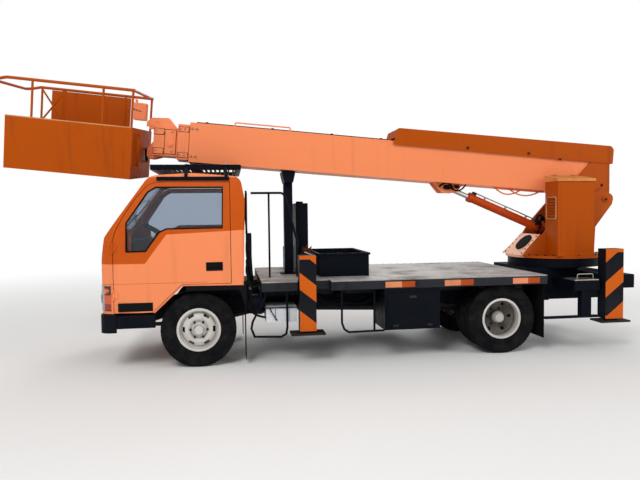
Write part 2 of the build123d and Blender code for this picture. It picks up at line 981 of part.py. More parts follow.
def handrail():
    """A bent grab rail with one upright behind the cab."""
    bent = tube_path(
        [
            (577, rail_y, 1835),
            (950, rail_y, 1835),
            (1090, rail_y, 1300),
            (1090, rail_y, deck_top),
        ],
        13,
        60,
    )
    return bent + rail((777, rail_y, deck_top), (777, rail_y, 1835), 11)


save("handrail", handrail())

# ---- Outriggers ---------------------------------------------------------------------

# Outrigger name: front X, rear X
outriggers = {
    "front": (1050, 1225),
    "rear": (4540, 4760),
}


def jack_housings():
    """Four upright sleeves, joined in pairs by a cross beam."""
    pieces = []
    for x0, x1 in outriggers.values():
        middle = (x0 + x1) / 2
        sleeve = block(x0, x1, -jack_face, -jack_face + jack_depth, jack_bottom, jack_top)
        half_x = leg_width / 2 + slide_gap
        half_y = leg_depth / 2 + slide_gap
        y = -jack_face + jack_depth / 2
        sleeve -= block(middle - half_x, middle + half_x, y - half_y, y + half_y, 0, jack_top - 30)
        pieces.append((sleeve, x0, x1))
    return pieces


def outrigger_beams():
    """Cross beams with a sleeve at each end."""
    shapes = []
    for sleeve, x0, x1 in jack_housings():
        inner = -jack_face + jack_depth - 1
        low = frame_top
        high = deck_bottom - seat_gap
        if x0 > deck_rear:
            high = ring_bottom - 60
        if x0 < deck_rear:
            beam = block(
                x0 + 20, x1 - 20, inner, -rail_outer_half - seat_gap, frame_bottom + 20, frame_top - 20
            )
            shapes += both_sides(sleeve + beam)
        else:
            shapes.append(sleeve + other_side(sleeve) + block(x0 + 20, x1 - 20, inner, -inner, low, high))
    return shapes


save("outrigger_sleeves", *outrigger_beams())


def jack_leg(x0, x1):
    """A sliding leg on its foot plate."""
    middle = (x0 + x1) / 2
    y = -jack_face + jack_depth / 2
    leg = block(
        middle - leg_width / 2,
        middle + leg_width / 2,
        y - leg_depth / 2,
        y + leg_depth / 2,
        foot_bottom,
        jack_top - 40,
    )
    foot = block(
        middle - foot_length / 2,
        middle + foot_length / 2,
        y - foot_width / 2,
        y + foot_width / 2,
        foot_bottom,
        foot_bottom + foot_thickness,
    )
    return leg + foot


for place, (x0, x1) in outriggers.items():
    save(f"jack_{place}_left", jack_leg(x0, x1))
    save(f"jack_{place}_right", other_side(jack_leg(x0, x1)))

# ---- Rear end --------------------------------------------------------------------------

base_half_width = 430
rear_beam_x0 = frame_rear + seat_gap
rear_beam_x1 = 4930


def rear_bumper():
    """A cross beam behind the frame with lamp brackets."""
    beam = block(rear_beam_x0, rear_beam_x1, -900, 900, 706, 860)
    hanger = block(rear_beam_x0, rear_beam_x0 + 40, -rail_outer_half, -rail_inner_half, frame_bottom, 707)
    drop = block(rear_beam_x0, rear_beam_x0 + 12, -880, -820, 549, 707)
    return beam + hanger + other_side(hanger) + drop + other_side(drop)


save("rear_bumper", rear_bumper())
save("rear_lamps", *both_sides(block(rear_beam_x1, rear_beam_x1 + 32, -860, -560, 735, 835)))


def rear_steps():
    """A step box on each side below the turntable, with its hanger and guard bar."""
    step = block(4190, 4500, -900, -base_half_width - seat_gap, 690, 800)
    post = block(4290, 4410, -880, -800, 390, 691)
    guard = block(3850, 4500, -880, -830, 375, 400)
    return both_sides(step + post + guard)


save("rear_steps", *rear_steps())


def turntable_base():
    """A boxed pedestal on the frame with the fixed bearing ring."""
    box = block(deck_rear + seat_gap, 4520, -base_half_width, base_half_width, frame_top, ring_bottom)
    ring = bar((slew_x, 0, ring_bottom - 1), (slew_x, 0, ring_top), ring_radius)
    return box + ring


save("turntable_base", turntable_base())

# ---- Turret -----------------------------------------------------------------------------

turret_floor = ring_top + slide_gap
plate_foot = turret_floor + flange_thickness
turret_outer_half = turret_inner_half + turret_plate


def turret():
    """Slewing flange with two shaped side plates, a sloping front and the two pins."""
    flange = Pos(slew_x, 0, 0) * frustum(flange_radius, turret_floor, flange_radius, plate_foot, 48)
    side_points = [
        (3990, plate_foot - 1),
        (4150, 1300),
        (4250, 1450),
        (4480, 1700),
        (4800, 1815),
        (luff_x - 40, luff_z + 118),
        (luff_x + 122, luff_z + 50),
        (luff_x + 96, luff_z - 60),
        (4857, 1394),
        (4840, plate_foot - 1),
    ]
    radii = [0, 40, 60, 60, 60, 70, 70, 60, 30, 0]
    plate = from_side(side_points, -turret_outer_half, -turret_inner_half, radii)
    walls = plate + other_side(plate)
    slope = from_side(
        [(3880, plate_foot - 1), (3910, plate_foot - 1), (4160, 1300), (4130, 1310)],
        -turret_inner_half - 1,
        turret_inner_half + 1,
    )
    slope -= bar((3900, 0, 1300), (4100, 0, 1050), 62)
    back = block(4790, 4815, -turret_inner_half - 1, turret_inner_half + 1, plate_foot - 1, 1380)
    gusset = from_side(
        [(3880, plate_foot - 1), (4190, plate_foot - 1), (4150, 1300)],
        -turret_outer_half,
        -turret_inner_half,
    )
    luff_pin = bar(
        (luff_x, -turret_outer_half - 18, luff_z),
        (luff_x, turret_outer_half + 18, luff_z),
        luff_pin_radius,
    )
    base_pin = bar(
        (cylinder_base_x, -turret_outer_half, cylinder_base_z),
        (cylinder_base_x, turret_outer_half, cylinder_base_z),
        cylinder_pin_radius,
    )
    return flange + walls + slope + back + gusset + other_side(gusset) + luff_pin + base_pin


save("turret", turret())

box_inner = turret_outer_half + seat_gap


def control_box():
    """Left-hand cabinet on the turret's side, hollow below its lid."""
    shell = block(box_front, box_rear, -box_outer, -box_inner, plate_foot, box_top)
    hollow = block(
        box_front + 15, box_rear - 15, -box_outer + 15, -box_inner - 15, plate_foot + 15, box_top + 1
    )
    return shell - hollow


lid_edge = box_outer + 12
lid_hinge_y = -box_inner - 12
lid_hinge_z = box_top + box_lid_height + 6
lid_hinge_radius = 10


def control_box_lid():
    """A sloping lid that overhangs the cabinet and turns about its inner edge."""
    low = box_top + slide_gap
    points = [
        (-lid_edge, low),
        (-box_inner - 6, low),
        (-box_inner - 6, box_top + box_lid_height),
        (-lid_edge, box_top + 30),
    ]
    lid = from_front(points, box_front - 8, box_rear + 8)
    for x in (box_front + 60, box_rear - 140):
        lid += bar((x, lid_hinge_y, lid_hinge_z), (x + 80, lid_hinge_y, lid_hinge_z), lid_hinge_radius)
    return lid


save("control_box", control_box())
save("control_box_lid", control_box_lid())

# ---- Boom ---------------------------------------------------------------------------------


def tilted(shape):
    """Turns a piece that is drawn level about the luffing pin to the boom's resting tilt."""
    pivot = Axis((luff_x, 0, luff_z), (0, 1, 0))
    return shape.rotate(pivot, boom_tilt)


def on_boom(points):
    """Points given from the luffing pin, in the vehicle's X and Z."""
    return [(luff_x + x, luff_z + z) for x, z in points]


def boom_box(x0, x1, half_width, z0, z1, wall):
    """A rectangular boom section that is open at both ends."""
    outer = block(luff_x + x0, luff_x + x1, -half_width, half_width, luff_z + z0, luff_z + z1)
    inner = block(
        luff_x + x0 - 1,
        luff_x + x1 + 1,
        -half_width + wall,
        half_width - wall,
        luff_z + z0 + wall,
        luff_z + z1 - wall,
    )
    return outer - inner


def pad_ring(x0, x1, outer_half, outer_bottom, outer_top, inner_half, inner_bottom, inner_top):
    """Wear pads that fill the space between two boom sections over a short length."""
    outer = block(
        luff_x + x0, luff_x + x1, -outer_half, outer_half, luff_z + outer_bottom, luff_z + outer_top
    )
    inner = block(
        luff_x + x0 - 1,
        luff_x + x1 + 1,
        -inner_half,
        inner_half,
        luff_z + inner_bottom,
        luff_z + inner_top,
    )
    return outer - inner


def boom_base():
    """Outer boom section with its rear end plates, cylinder lug and front wear pads."""
    box = boom_box(-boom_length, 60, boom_half_width, boom_bottom, boom_top, boom_wall)
    rear_wall = block(
        luff_x + 40,
        luff_x + 60,
        -boom_half_width + 1,
        boom_half_width - 1,
        luff_z + boom_bottom + 1,
        luff_z + boom_top - 1,
    )
    pads = pad_ring(
        -boom_length,
        -boom_length + 90,
        boom_half_width - boom_wall + 1,
        boom_bottom + boom_wall - 1,
        boom_top - boom_wall + 1,
        middle_half_width + slide_gap,
        middle_bottom - slide_gap,
        middle_top + slide_gap,
    )
    end_points = on_boom(
        [
            (-440, 170),
            (-326, 296),
            (-159, boom_top),
            (60, boom_top),
            (92, 120),
            (88, -70),
            (-88, -88),
            (-200, 60),
        ]
    )
    cheek_outer = cover_half_width - cover_wall - seat_gap
    cheek = from_side(end_points, -cheek_outer, -boom_half_width + 1, [20, 20, 0, 0, 60, 80, 80, 40])
    shape = box + rear_wall + pads + cheek + other_side(cheek)
    shape -= bar((luff_x, -500, luff_z), (luff_x, 500, luff_z), luff_pin_radius + pin_gap)
    return tilted(shape)


def cylinder_lug():
    """Two ears below the boom that hold the cylinder's upper eye between them."""
    ear_foot = boom_floor(cylinder_eye_x)
    points = [
        (cylinder_eye_x - 250, ear_foot + 24),
        (cylinder_eye_x - 140, cylinder_eye_z - 50),
        (cylinder_eye_x + 40, cylinder_eye_z - 52),
        (cylinder_eye_x + 150, ear_foot + 8),
    ]
    ear = from_side(points, -90, -60, [0, 40, 45, 0])
    boss = bar((cylinder_eye_x, -112, cylinder_eye_z), (cylinder_eye_x, -62, cylinder_eye_z), 34)
    return ear + boss


boom_bore = block(
    luff_x - boom_length - 200,
    luff_x,
    -boom_half_width + boom_wall,
    boom_half_width - boom_wall,
    luff_z + boom_bottom + boom_wall - 1,
    luff_z + boom_top - boom_wall,
)
lug = cylinder_lug() - tilted(boom_bore)
save("boom_base", boom_base() + lug + other_side(lug))


def boom_cover():
    """A sheet hood along the rear half of the boom's top, open below."""
    top = boom_top + cover_height
    side_points = [
        (-cover_length - 40, boom_top - 45),
        (100, boom_top - 45),
        (100, top - 40),
        (60, top),
        (-cover_length, top - 24),
    ]
    outer = from_side(on_boom(side_points), -cover_half_width, cover_half_width, [0, 0, 30, 30, 30])
    hollow = from_side(
        on_boom(
            [
                (-cover_length - 60, boom_top - 60),
                (88, boom_top - 60),
                (88, top - 52),
                (50, top - 12),
                (-cover_length + 12, top - 36),
                (-cover_length - 36, boom_top + seat_gap),
            ]
        ),
        -cover_half_width + cover_wall,
        cover_half_width - cover_wall,
    )
    return tilted(outer - hollow)


cover = boom_cover()
save("boom_cover", cover)


def boom_middle():
    """First sliding section with a collar at its mouth and pads at its tail."""
    box = boom_box(
        -boom_length - collar_length - collar_gap,
        middle_rear,
        middle_half_width,
        middle_bottom,
        middle_top,
        boom_wall,
    )
    collar = boom_box(
        -boom_length - collar_length - collar_gap,
        -boom_length - collar_gap,
        middle_half_width + 28,
        middle_bottom - 24,
        middle_top + 16,
        38,
    )
    collar -= block(
        luff_x - 9000,
        luff_x,
        -middle_half_width + 1,
        middle_half_width - 1,
        luff_z + middle_bottom + 1,
        luff_z + middle_top - 1,
    )
    tail = pad_ring(
        middle_rear - 90,
        middle_rear,
        boom_half_width - boom_wall - slide_gap,
        boom_bottom + boom_wall + slide_gap,
        boom_top - boom_wall - slide_gap,
        middle_half_width - 1,
        middle_bottom + 1,
        middle_top - 1,
    )
    mouth = pad_ring(
        -boom_length - collar_length - collar_gap,
        -boom_length - 40,
        middle_half_width - boom_wall + 1,
        middle_bottom + boom_wall - 1,
        middle_top - boom_wall + 1,
        tip_half_width + slide_gap,
        tip_bottom - slide_gap,
        tip_top + slide_gap,
    )
    return tilted(box + collar + tail + mouth)


save("boom_middle", boom_middle())

head_front = -boom_length - 2 * collar_length - 150
head_rear = -boom_length - collar_length - 12
level_x = head_front - 31
level_z = tip_bottom - 26
level_pin_radius = 12
level_eye_radius = 24
level_cheek_inner = 62
level_cheek = 20


def hump():
    """A humped plate on the head's left shoulder, level with the wear pads' adjusters."""
    points = on_boom(
        [
            (head_front - 84, tip_top + 4),
            (head_front - 84, 470),
            (head_front - 37, 522),
            (-5355, 535),
            (-5262, 430),
            (-5262, tip_top + 4),
        ]
    )
    plate = from_side(points, -tip_half_width - 10, -tip_half_width + 10, [0, 20, 40, 40, 0, 0])
    plate -= bar((luff_x - 5477, -200, luff_z + 470), (luff_x - 5477, 200, luff_z + 470), 14)
    return plate


def level_cheek_plate():
    """A plate below the head's front that holds the levelling pin."""
    points = on_boom(
        [
            (level_x - 40, level_z - 40),
            (level_x + 40, level_z - 40),
            (head_front + 120, tip_bottom - 29),
            (head_front + 120, tip_bottom + 100),
            (head_front + 2, tip_bottom + 140),
            (level_x - 40, level_z + 60),
        ]
    )
    return from_side(points, -level_cheek_inner - level_cheek, -level_cheek_inner, [39, 39, 0, 0, 20, 30])


def boom_tip():
    """Last section, whose head carries the basket's levelling pin between two cheeks."""
    box = boom_box(head_front, tip_rear, tip_half_width, tip_bottom, tip_top, boom_wall)
    collar = boom_box(head_front, head_rear, tip_half_width + 26, tip_bottom - 30, tip_top + 10, 36)
    collar -= block(
        luff_x + head_front - 1,
        luff_x + head_rear + 1,
        -tip_half_width + 1,
        tip_half_width - 1,
        luff_z + tip_bottom + 1,
        luff_z + tip_top - 1,
    )
    tail = pad_ring(
        tip_rear - 90,
        tip_rear,
        middle_half_width - boom_wall - slide_gap,
        middle_bottom + boom_wall + slide_gap,
        middle_top - boom_wall - slide_gap,
        tip_half_width - 1,
        tip_bottom + 1,
        tip_top - 1,
    )
    cap = block(
        luff_x + head_front,
        luff_x + head_front + 16,
        -tip_half_width,
        tip_half_width,
        luff_z + tip_bottom,
        luff_z + tip_top,
    )
    plates = hump() + level_cheek_plate()
    pin = bar(
        (luff_x + level_x, -level_cheek_inner - level_cheek - 8, luff_z + level_z),
        (luff_x + level_x, level_cheek_inner + level_cheek + 8, luff_z + level_z),
        level_pin_radius,
    )
    return tilted(box + collar + tail + cap + plates + other_side(plates) + pin)


save("boom_tip", boom_tip())

# ---- Lift cylinder -------------------------------------------------------------------------

lift_length = hypot(cylinder_eye_x - cylinder_base_x, cylinder_eye_z - cylinder_base_z)
lift_plane = Plane(
    origin=(cylinder_base_x, 0, cylinder_base_z),
    x_dir=(0, 1, 0),
    z_dir=(cylinder_eye_x - cylinder_base_x, 0, cylinder_eye_z - cylinder_base_z),
)


def cross_eye(height, radius, half_width, bore):
    """An eye across the cylinder's line, centred on it at a height along it."""
    ring = Cylinder(radius, 2 * half_width) - Cylinder(bore, 2 * half_width + 2)
    return Pos(0, 0, height) * Rot(0, 90, 0) * ring


def cylinder_barrel():
    """Barrel with its base eye, open bore and gland."""
    tube = Pos(0, 0, barrel_length / 2 + 30) * Cylinder(barrel_radius, barrel_length - 60)
    bore_length = barrel_length - gland_length - bore_start
    tube -= Pos(0, 0, bore_start + bore_length / 2) * Cylinder(barrel_bore, bore_length)
    tube -= Pos(0, 0, barrel_length) * Cylinder(rod_radius + slide_gap, 4 * gland_length)
    gland = Pos(0, 0, barrel_length - 25) * (
        Cylinder(barrel_radius + 8, 50) - Cylinder(barrel_radius - 2, 60)
    )
    eye = cross_eye(0, 58, 48, cylinder_pin_radius + pin_gap)
    neck = Pos(0, 0, 62) * Box(80, 80, 60)
    neck -= Pos(0, 0, 0) * Rot(0, 90, 0) * Cylinder(50, 200)
    return lift_plane * (tube + gland + eye + neck)


def cylinder_rod():
    """Chromed rod with its piston and a closed upper eye."""
    top = lift_length - 30
    shaft = Pos(0, 0, (piston_start + top) / 2) * Cylinder(rod_radius, top - piston_start)
    piston = Pos(0, 0, piston_start + piston_length / 2) * Cylinder(
        barrel_bore - slide_gap, piston_length
    )
    eye = Pos(0, 0, lift_length) * Rot(0, 90, 0) * Cylinder(44, 108)
    return lift_plane * (shaft + piston + eye)


save("cylinder_barrel", cylinder_barrel())
save("cylinder_rod", cylinder_rod())

# ---- Basket --------------------------------------------------------------------------------


def askew(shape):
    """Sets a piece that is drawn level about the basket's floor centre as the basket stands."""
    placed = Rot(basket_lean, 0, 0) * shape
    placed = Rot(0, basket_pitch, 0) * placed
    placed = Rot(0, 0, basket_swing) * placed
    return Pos(basket_x, basket_y, basket_z) * placed


def basket():
    """A sheet bin with a doorway in its rear end, a raised far side and guard rails."""
    half_l = basket_length / 2
    half_w = basket_width / 2
    bin_shape = block(-half_l, half_l, -half_w, half_w, 0, basket_height)
    bin_shape -= block(
        -half_l + basket_wall,
        half_l - basket_wall,
        -half_w + basket_wall,
        half_w - basket_wall,
        basket_wall,
        basket_height + 1,
    )
    bin_shape -= block(
        half_l - basket_wall - 1, half_l + 1, -half_w + 60, -half_w + 330, 130, basket_height - 60
    )
    top = basket_height + basket_rail_height
    panel = block(-half_l + 130, half_l - 260, half_w - basket_wall, half_w, basket_height - 1, top - 20)
    shape = bin_shape + panel
    inset = rail_radius
    for y in (-half_w + inset, half_w - inset):
        shape += rail((-half_l, y, top), (half_l, y, top), rail_radius)
        for x in (-half_l + 260, half_l - 320, half_l - inset):
            shape += rail((x, y, basket_height - 10), (x, y, top), rail_radius * 0.8)
    shape += rail(
        (half_l - inset, -half_w + inset, top), (half_l - inset, half_w - inset, top), rail_radius
    )
    return shape + basket_hoop(half_l, half_w, top)


def basket_hoop(half_l, half_w, top):
    """The front rail, which bows forward beyond the bin."""
    y = half_w - rail_radius
    return tube_path(
        [
            (-half_l + 1, -y, top),
            (-half_l - basket_hoop_reach, -y, top - 40),
            (-half_l - basket_hoop_reach, y, top - 40),
            (-half_l + 1, y, top),
        ],
        rail_radius,
        90,
    )


def swing_ears():
    """Two level plates on the basket's end wall with bores for the swing pin."""
    pieces = None
    for z in (swing_low - ear_thickness, swing_high):
        ear = from_top(
            [
                (swing_x - 66, -60),
                (swing_x, -ear_radius),
                (swing_x + ear_radius, -ear_radius + 1),
                (swing_x + ear_radius, ear_radius - 1),
                (swing_x, ear_radius),
                (swing_x - 66, 60),
            ],
            z,
            z + ear_thickness,
            [0, 0, ear_radius - 3, ear_radius - 3, 0, 0],
        )
        ear -= bar((swing_x, 0, z - 1), (swing_x, 0, z + ear_thickness + 1), swing_pin_radius + pin_gap)
        pieces = ear if pieces is None else pieces + ear
    return pieces


def boom_place(x, z):
    """Vehicle X and Z of a point that is given on the level boom."""
    turn = radians(boom_tilt)
    return luff_x + x * cos(turn) + z * sin(turn), luff_z - x * sin(turn) + z * cos(turn)


level_world_x, level_world_z = boom_place(level_x, level_z)
swing_x = level_world_x - 54
swing_low = level_world_z - 62
swing_high = level_world_z + 68
swing_pin_radius = 9
swing_sleeve_radius = 16
ear_radius = 20
ear_thickness = 14

ears = swing_ears()
inner_block = Pos(0, 0, basket_height / 2) * Box(basket_length - 2 * basket_wall + 12, basket_width, 900)
save("basket", askew(basket()) + (ears - askew(inner_block)))


def basket_mount():
    """Levelling block: a cross bore on the head's pin and an upright swing pin for the basket."""
    eye = bar(
        (level_world_x, -level_cheek_inner + 2, level_world_z),
        (level_world_x, level_cheek_inner - 2, level_world_z),
        level_eye_radius,
    )
    arm = block(swing_x, level_world_x, -40, 40, level_world_z - 20, level_world_z + 20)
    sleeve = rail(
        (swing_x, 0, swing_low + slide_gap), (swing_x, 0, swing_high - slide_gap), swing_sleeve_radius, 12
    )
    pin = bar(
        (swing_x, 0, swing_low - ear_thickness - 6),
        (swing_x, 0, swing_high + ear_thickness + 6),
        swing_pin_radius,
    )
    bore = bar(
        (level_world_x, -100, level_world_z),
        (level_world_x, 100, level_world_z),
        level_pin_radius + pin_gap,
    )
    return eye + arm + sleeve + pin - bore


save("basket_mount", basket_mount())
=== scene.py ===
"""Looks of the cherry picker truck: finishes, small fittings, floor, light and camera."""
import json
import math

import bmesh
import bpy
from mathutils import Matrix, Vector


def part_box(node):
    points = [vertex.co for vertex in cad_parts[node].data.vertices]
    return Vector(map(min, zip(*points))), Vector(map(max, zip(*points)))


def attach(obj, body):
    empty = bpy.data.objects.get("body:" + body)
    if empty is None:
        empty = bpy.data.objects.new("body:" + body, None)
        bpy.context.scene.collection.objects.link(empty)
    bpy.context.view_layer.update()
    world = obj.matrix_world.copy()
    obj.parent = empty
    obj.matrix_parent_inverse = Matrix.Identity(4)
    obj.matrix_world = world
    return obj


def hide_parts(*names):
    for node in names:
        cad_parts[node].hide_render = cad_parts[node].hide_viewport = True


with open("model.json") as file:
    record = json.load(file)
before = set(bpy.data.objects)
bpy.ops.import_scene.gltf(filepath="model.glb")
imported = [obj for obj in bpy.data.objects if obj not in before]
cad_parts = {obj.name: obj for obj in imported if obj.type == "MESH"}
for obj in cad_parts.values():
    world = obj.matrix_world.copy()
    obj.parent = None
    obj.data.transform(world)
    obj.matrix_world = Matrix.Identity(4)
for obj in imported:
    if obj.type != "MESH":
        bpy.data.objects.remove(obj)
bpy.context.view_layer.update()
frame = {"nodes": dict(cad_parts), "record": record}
nodes = frame["nodes"]


# ---- Places ----
# Lengths are metres. Most places are given from the front axle: X rearwards,
# Y to the vehicle's right, Z up from the ground.

def box_of(node):
    low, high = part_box(node)
    return Vector(low), Vector(high)


def middle_of(node):
    low, high = box_of(node)
    return (low + high) / 2


AXLE = middle_of("front_tyre_left")
BACK_AXLE = middle_of("rear_tyres_left")
WHEEL_Z = AXLE.z
SIDES = (("left", -1), ("right", 1))


def at(x, y, z):
    """A place given from the front axle, in the row frame."""
    return Vector((AXLE.x + x, y, z))


shift = Matrix.Translation


def turned(degrees, axis):
    return Matrix.Rotation(math.radians(degrees), 4, axis)


def cylinder_frame(foot, eye):
    """Coordinates along the lift cylinder: Z from its foot to its eye."""
    along = (eye - foot).normalized()
    side = Vector((0, 1, 0))
    return shift(foot) @ Matrix((side, along.cross(side), along)).transposed().to_4x4()


# Places that turn coordinates of a part into the row frame. A level boom starts at its luff pin.
STAY = Matrix.Identity(4)
MIRROR = Matrix.Diagonal((1, -1, 1, 1))
GROUND = shift(at(0, 0, 0))
BOOM = shift(at(4.984, 0, 1.735)) @ turned(4.6, "Y")
BARREL = cylinder_frame(at(4.33, 0, 1.345), at(3.06, 0, 1.885))
BASKET = shift(at(-1.302, -0.03, 2.089)) @ turned(-5, "Z") @ turned(6, "Y") @ turned(5, "X")
# The place that a body's small fittings are given from, where that isn't the front axle
BODY_PLACES = {
    "boom": BOOM, "boom_middle": BOOM, "boom_tip": BOOM, "cylinder_barrel": BARREL, "basket": BASKET,
}


# ---- Node trees ----

class Tree:
    """A node tree whose nodes are added with their values."""

    def __init__(self, tree):
        self.tree = tree

    def put(self, socket, value):
        """Links a value that is an output socket, and sets any other."""
        if isinstance(value, bpy.types.NodeSocket):
            self.tree.links.new(value, socket)
        else:
            socket.default_value = value

    def add(self, kind, settings=None, **values):
        node = self.tree.nodes.new(kind)
        for name, value in (settings or {}).items():
            setattr(node, name, value)
        for name, value in values.items():
            self.put(node.inputs[name.replace("_", " ")], value)
        return node

    def fill(self, kind, settings, *values):
        """Adds a node, fills its inputs in their order and returns its first output."""
        node = self.add(kind, settings)
        for socket, value in zip(node.inputs, values):
            self.put(socket, value)
        return node.outputs[0]

    def math(self, kind, *values):
        return self.fill("ShaderNodeMath", {"operation": kind}, *values)

    def times(self, first, second):
        return self.math("MULTIPLY", first, second)

    def minus(self, first, second):
        return self.math("SUBTRACT", first, second)

    def size(self, value):
        return self.math("ABSOLUTE", value)


class Finish(Tree):
    """A material that is put together node by node."""

    def __init__(self, name):
        self.material = bpy.data.materials.new(name)
        self.material.use_nodes = True
        super().__init__(self.material.node_tree)
        self.shader = self.tree.nodes["Principled BSDF"]
        self.place = self.add("ShaderNodeTexCoord").outputs["Object"]

    def set(self, **values):
        for name, value in values.items():
            self.put(self.shader.inputs[name.replace("_", " ")], value)

    def axes(self):
        """The separate X, Y and Z of the object's coordinates."""
        return self.add("ShaderNodeSeparateXYZ", Vector=self.place).outputs

    def moved(self, scale=(1, 1, 1), turn=(0, 0, 0)):
        """The object's coordinates, scaled and turned."""
        return self.add("ShaderNodeMapping", Vector=self.place, Scale=scale, Rotation=turn).outputs[0]

    def noise(self, scale, detail=4, rough=0.55, vector=None, bend=0.0):
        return self.add(
            "ShaderNodeTexNoise",
            Vector=vector or self.place, Scale=scale, Detail=detail, Roughness=rough, Distortion=bend,
        ).outputs[0]

    def step(self, value, low, high, out_low=0.0, out_high=1.0, kind="SMOOTHSTEP"):
        """A step of a value between two levels, smooth or LINEAR."""
        settings = {"interpolation_type": kind}
        return self.fill("ShaderNodeMapRange", settings, value, low, high, out_low, out_high)

    def cloud(self, low, high, *noise, **more):
        """Noise that is stepped between two levels."""
        return self.step(self.noise(*noise, **more), low, high)

    def below(self, value, low, high):
        """One below the low level, falling to nothing at the high one."""
        return self.step(value, low, high, 1.0, 0.0)

    def mix(self, factor, first, second):
        """A colour between two colours."""
        node = self.add("ShaderNodeMix", {"data_type": "RGBA"})
        for index, value in ((0, factor), (6, first), (7, second)):
            self.put(node.inputs[index], value)
        return node.outputs[2]

    def bump(self, height, strength, distance=0.001):
        normal = self.add("ShaderNodeBump", Height=height, Strength=strength, Distance=distance)
        self.put(self.shader.inputs["Normal"], normal.outputs[0])

    def fluted(self, colour, rough, coat, turn=0.0):
        """Ends a moulded lamp lens, with flutes on its back."""
        waves = self.add("ShaderNodeTexWave", Vector=self.moved(turn=(0, 0, turn)), Scale=18.0)
        self.set(Base_Color=colour, Roughness=rough, Coat_Weight=coat)
        self.bump(waves.outputs[1], 0.3, 0.002)
        return self.material


# ---- Colours and finishes ----

def rgb(red, green, blue):
    """A colour given in display values from 0 to 255, as linear light."""
    def linear(value):
        value /= 255
        return value / 12.92 if value < 0.04045 else ((value + 0.055) / 1.055) ** 2.4

    return (linear(red), linear(green), linear(blue), 1)


SALMON = rgb(248, 142, 92)
BURNT = rgb(178, 76, 0)
CAB_BURNT = rgb(198, 82, 0)
BLACK = rgb(9, 14, 24)
CHALK = rgb(235, 190, 150)
DUST = rgb(120, 110, 96)
# Dark brown for sooty run streaks and dark joints, and for the painted shade in the door's crease
SOOT_AND_SHADE = rgb(44, 34, 28)
RUST = rgb(92, 44, 22)
AMBER_TINT = rgb(206, 100, 34)
DUST_TOP = 0.9
# Lines where two paints meet, and the door's crease that gets a line of painted shade: two X in the row
# frame, one X from the front axle, and three heights
SIDE_PLATE_FRONT = AXLE.x + 4.3
SLOPE_BACK = AXLE.x + 4.17
REAR_LEGS = 2.9
ROOF_EDGE = 1.985
DOOR_CREASE = 0.903
DECK_TOP = 0.88
# Sizes of the patterns in the paint
BOARD_WIDTH = 0.31
PLATE_LENGTH = 2.44
STRIPE_PITCH = 0.4


def weather(look, colour, dust=0.35, streaks=0.35, chips=0.3, chalk=0.02):
    """Fades, streaks, dusts and chips a paint colour, and returns colour and roughness."""
    fade = look.cloud(0.35, 0.7, 1.3, 3)
    colour = look.mix(look.times(fade, chalk), colour, CHALK)
    runs = look.noise(7, 5, 0.6, look.moved(scale=(1, 1, 0.09)))
    colour = look.mix(look.times(look.step(runs, 0.54, 0.8), streaks), colour, SOOT_AND_SHADE)
    low = look.step(look.axes()[2], 0.25, DUST_TOP, 1.0, 0.25)
    cloud = look.cloud(0.3, 0.75, 3.2, 6, 0.65)
    dusty = look.times(look.times(low, cloud), dust)
    colour = look.mix(dusty, colour, DUST)
    spots = look.cloud(0.64, 0.68, 26, 5, 0.7, bend=0.4)
    worn = look.times(spots, look.cloud(0.42, 0.6, 2.1, 2))
    colour = look.mix(look.times(worn, chips), colour, RUST)
    rough = look.step(look.math("ADD", dusty, look.noise(14, 3)), 0.3, 1.1, 0.38, 0.72)
    return colour, rough


def coat(look, colour, *wear, gloss=0.2):
    """Weathers a paint, by its dust, streaks, chips and chalk, and gives it a fine grain."""
    shade, rough = weather(look, colour, *wear)
    look.set(Base_Color=shade, Roughness=rough, Specular_IOR_Level=gloss)
    look.bump(look.noise(60, 4), 0.12)
    return look.material


def painted(name, colour, *wear, gloss=0.2):
    return coat(Finish(name), colour, *wear, gloss=gloss)


def boom_paint():
    """Salmon boom whose rear side plates, which stand proud of it, are burnt orange."""
    look = Finish("boom_base_paint")
    x, y, _ = look.axes()
    proud = look.step(look.size(y), 0.1905, 0.1915)
    behind = look.step(x, SIDE_PLATE_FRONT, SIDE_PLATE_FRONT + 0.01)
    return coat(look, look.mix(look.times(proud, behind), SALMON, BURNT), 0.06, 0.14, 0.2, gloss=0.12)


def turret_paint():
    """Burnt orange turret with a pale sloping front plate, whose paint is brightened by a painted highlight
    of the sky.
    """
    look = Finish("turret_paint")
    x, y, _ = look.axes()
    inside = look.below(look.size(y), 0.2445, 0.2455)
    front = look.below(x, SLOPE_BACK, SLOPE_BACK + 0.02)
    # The sloping plate's colour is partly its pale paint and partly a painted highlight of the sky on the
    # slope
    colour = look.mix(look.times(inside, front), BURNT, rgb(248, 192, 160))
    return coat(look, colour, 0.06, 0.3, 0.3, gloss=0.12)


def cab_paint():
    """Two tones that meet on a line which rises behind the door's front edge; the roof is light again."""
    look = Finish("cab_two_tone_paint")
    x, _, z = look.axes()
    along = look.minus(x, AXLE.x)
    # X and Z of the line's ends: steep by the door's edge, then nearly level to the back
    rise = look.step(along, -0.523, -0.304, 1.107, 1.402, "LINEAR")
    slope = look.step(along, -0.304, 0.476, 0.0, 0.035, "LINEAR")
    above = look.step(look.minus(z, look.math("ADD", rise, slope)), -0.004, 0.004)
    dark = look.times(above, look.below(z, ROOF_EDGE, ROOF_EDGE + 0.01))
    shade, rough = weather(look, look.mix(dark, SALMON, CAB_BURNT), 0.06, 0.1, 0.2)
    # A thin dark line along the door's crease: painted shade in the crease
    crease = look.step(look.size(look.minus(z, DOOR_CREASE)), 0.001, 0.004, 0.5, 0.0)
    shade = look.mix(look.times(crease, look.below(along, 0.09, 0.1)), shade, SOOT_AND_SHADE)
    look.set(Base_Color=shade, Roughness=rough, Specular_IOR_Level=0.15)
    look.bump(look.noise(45, 3), 0.06)
    return look.material


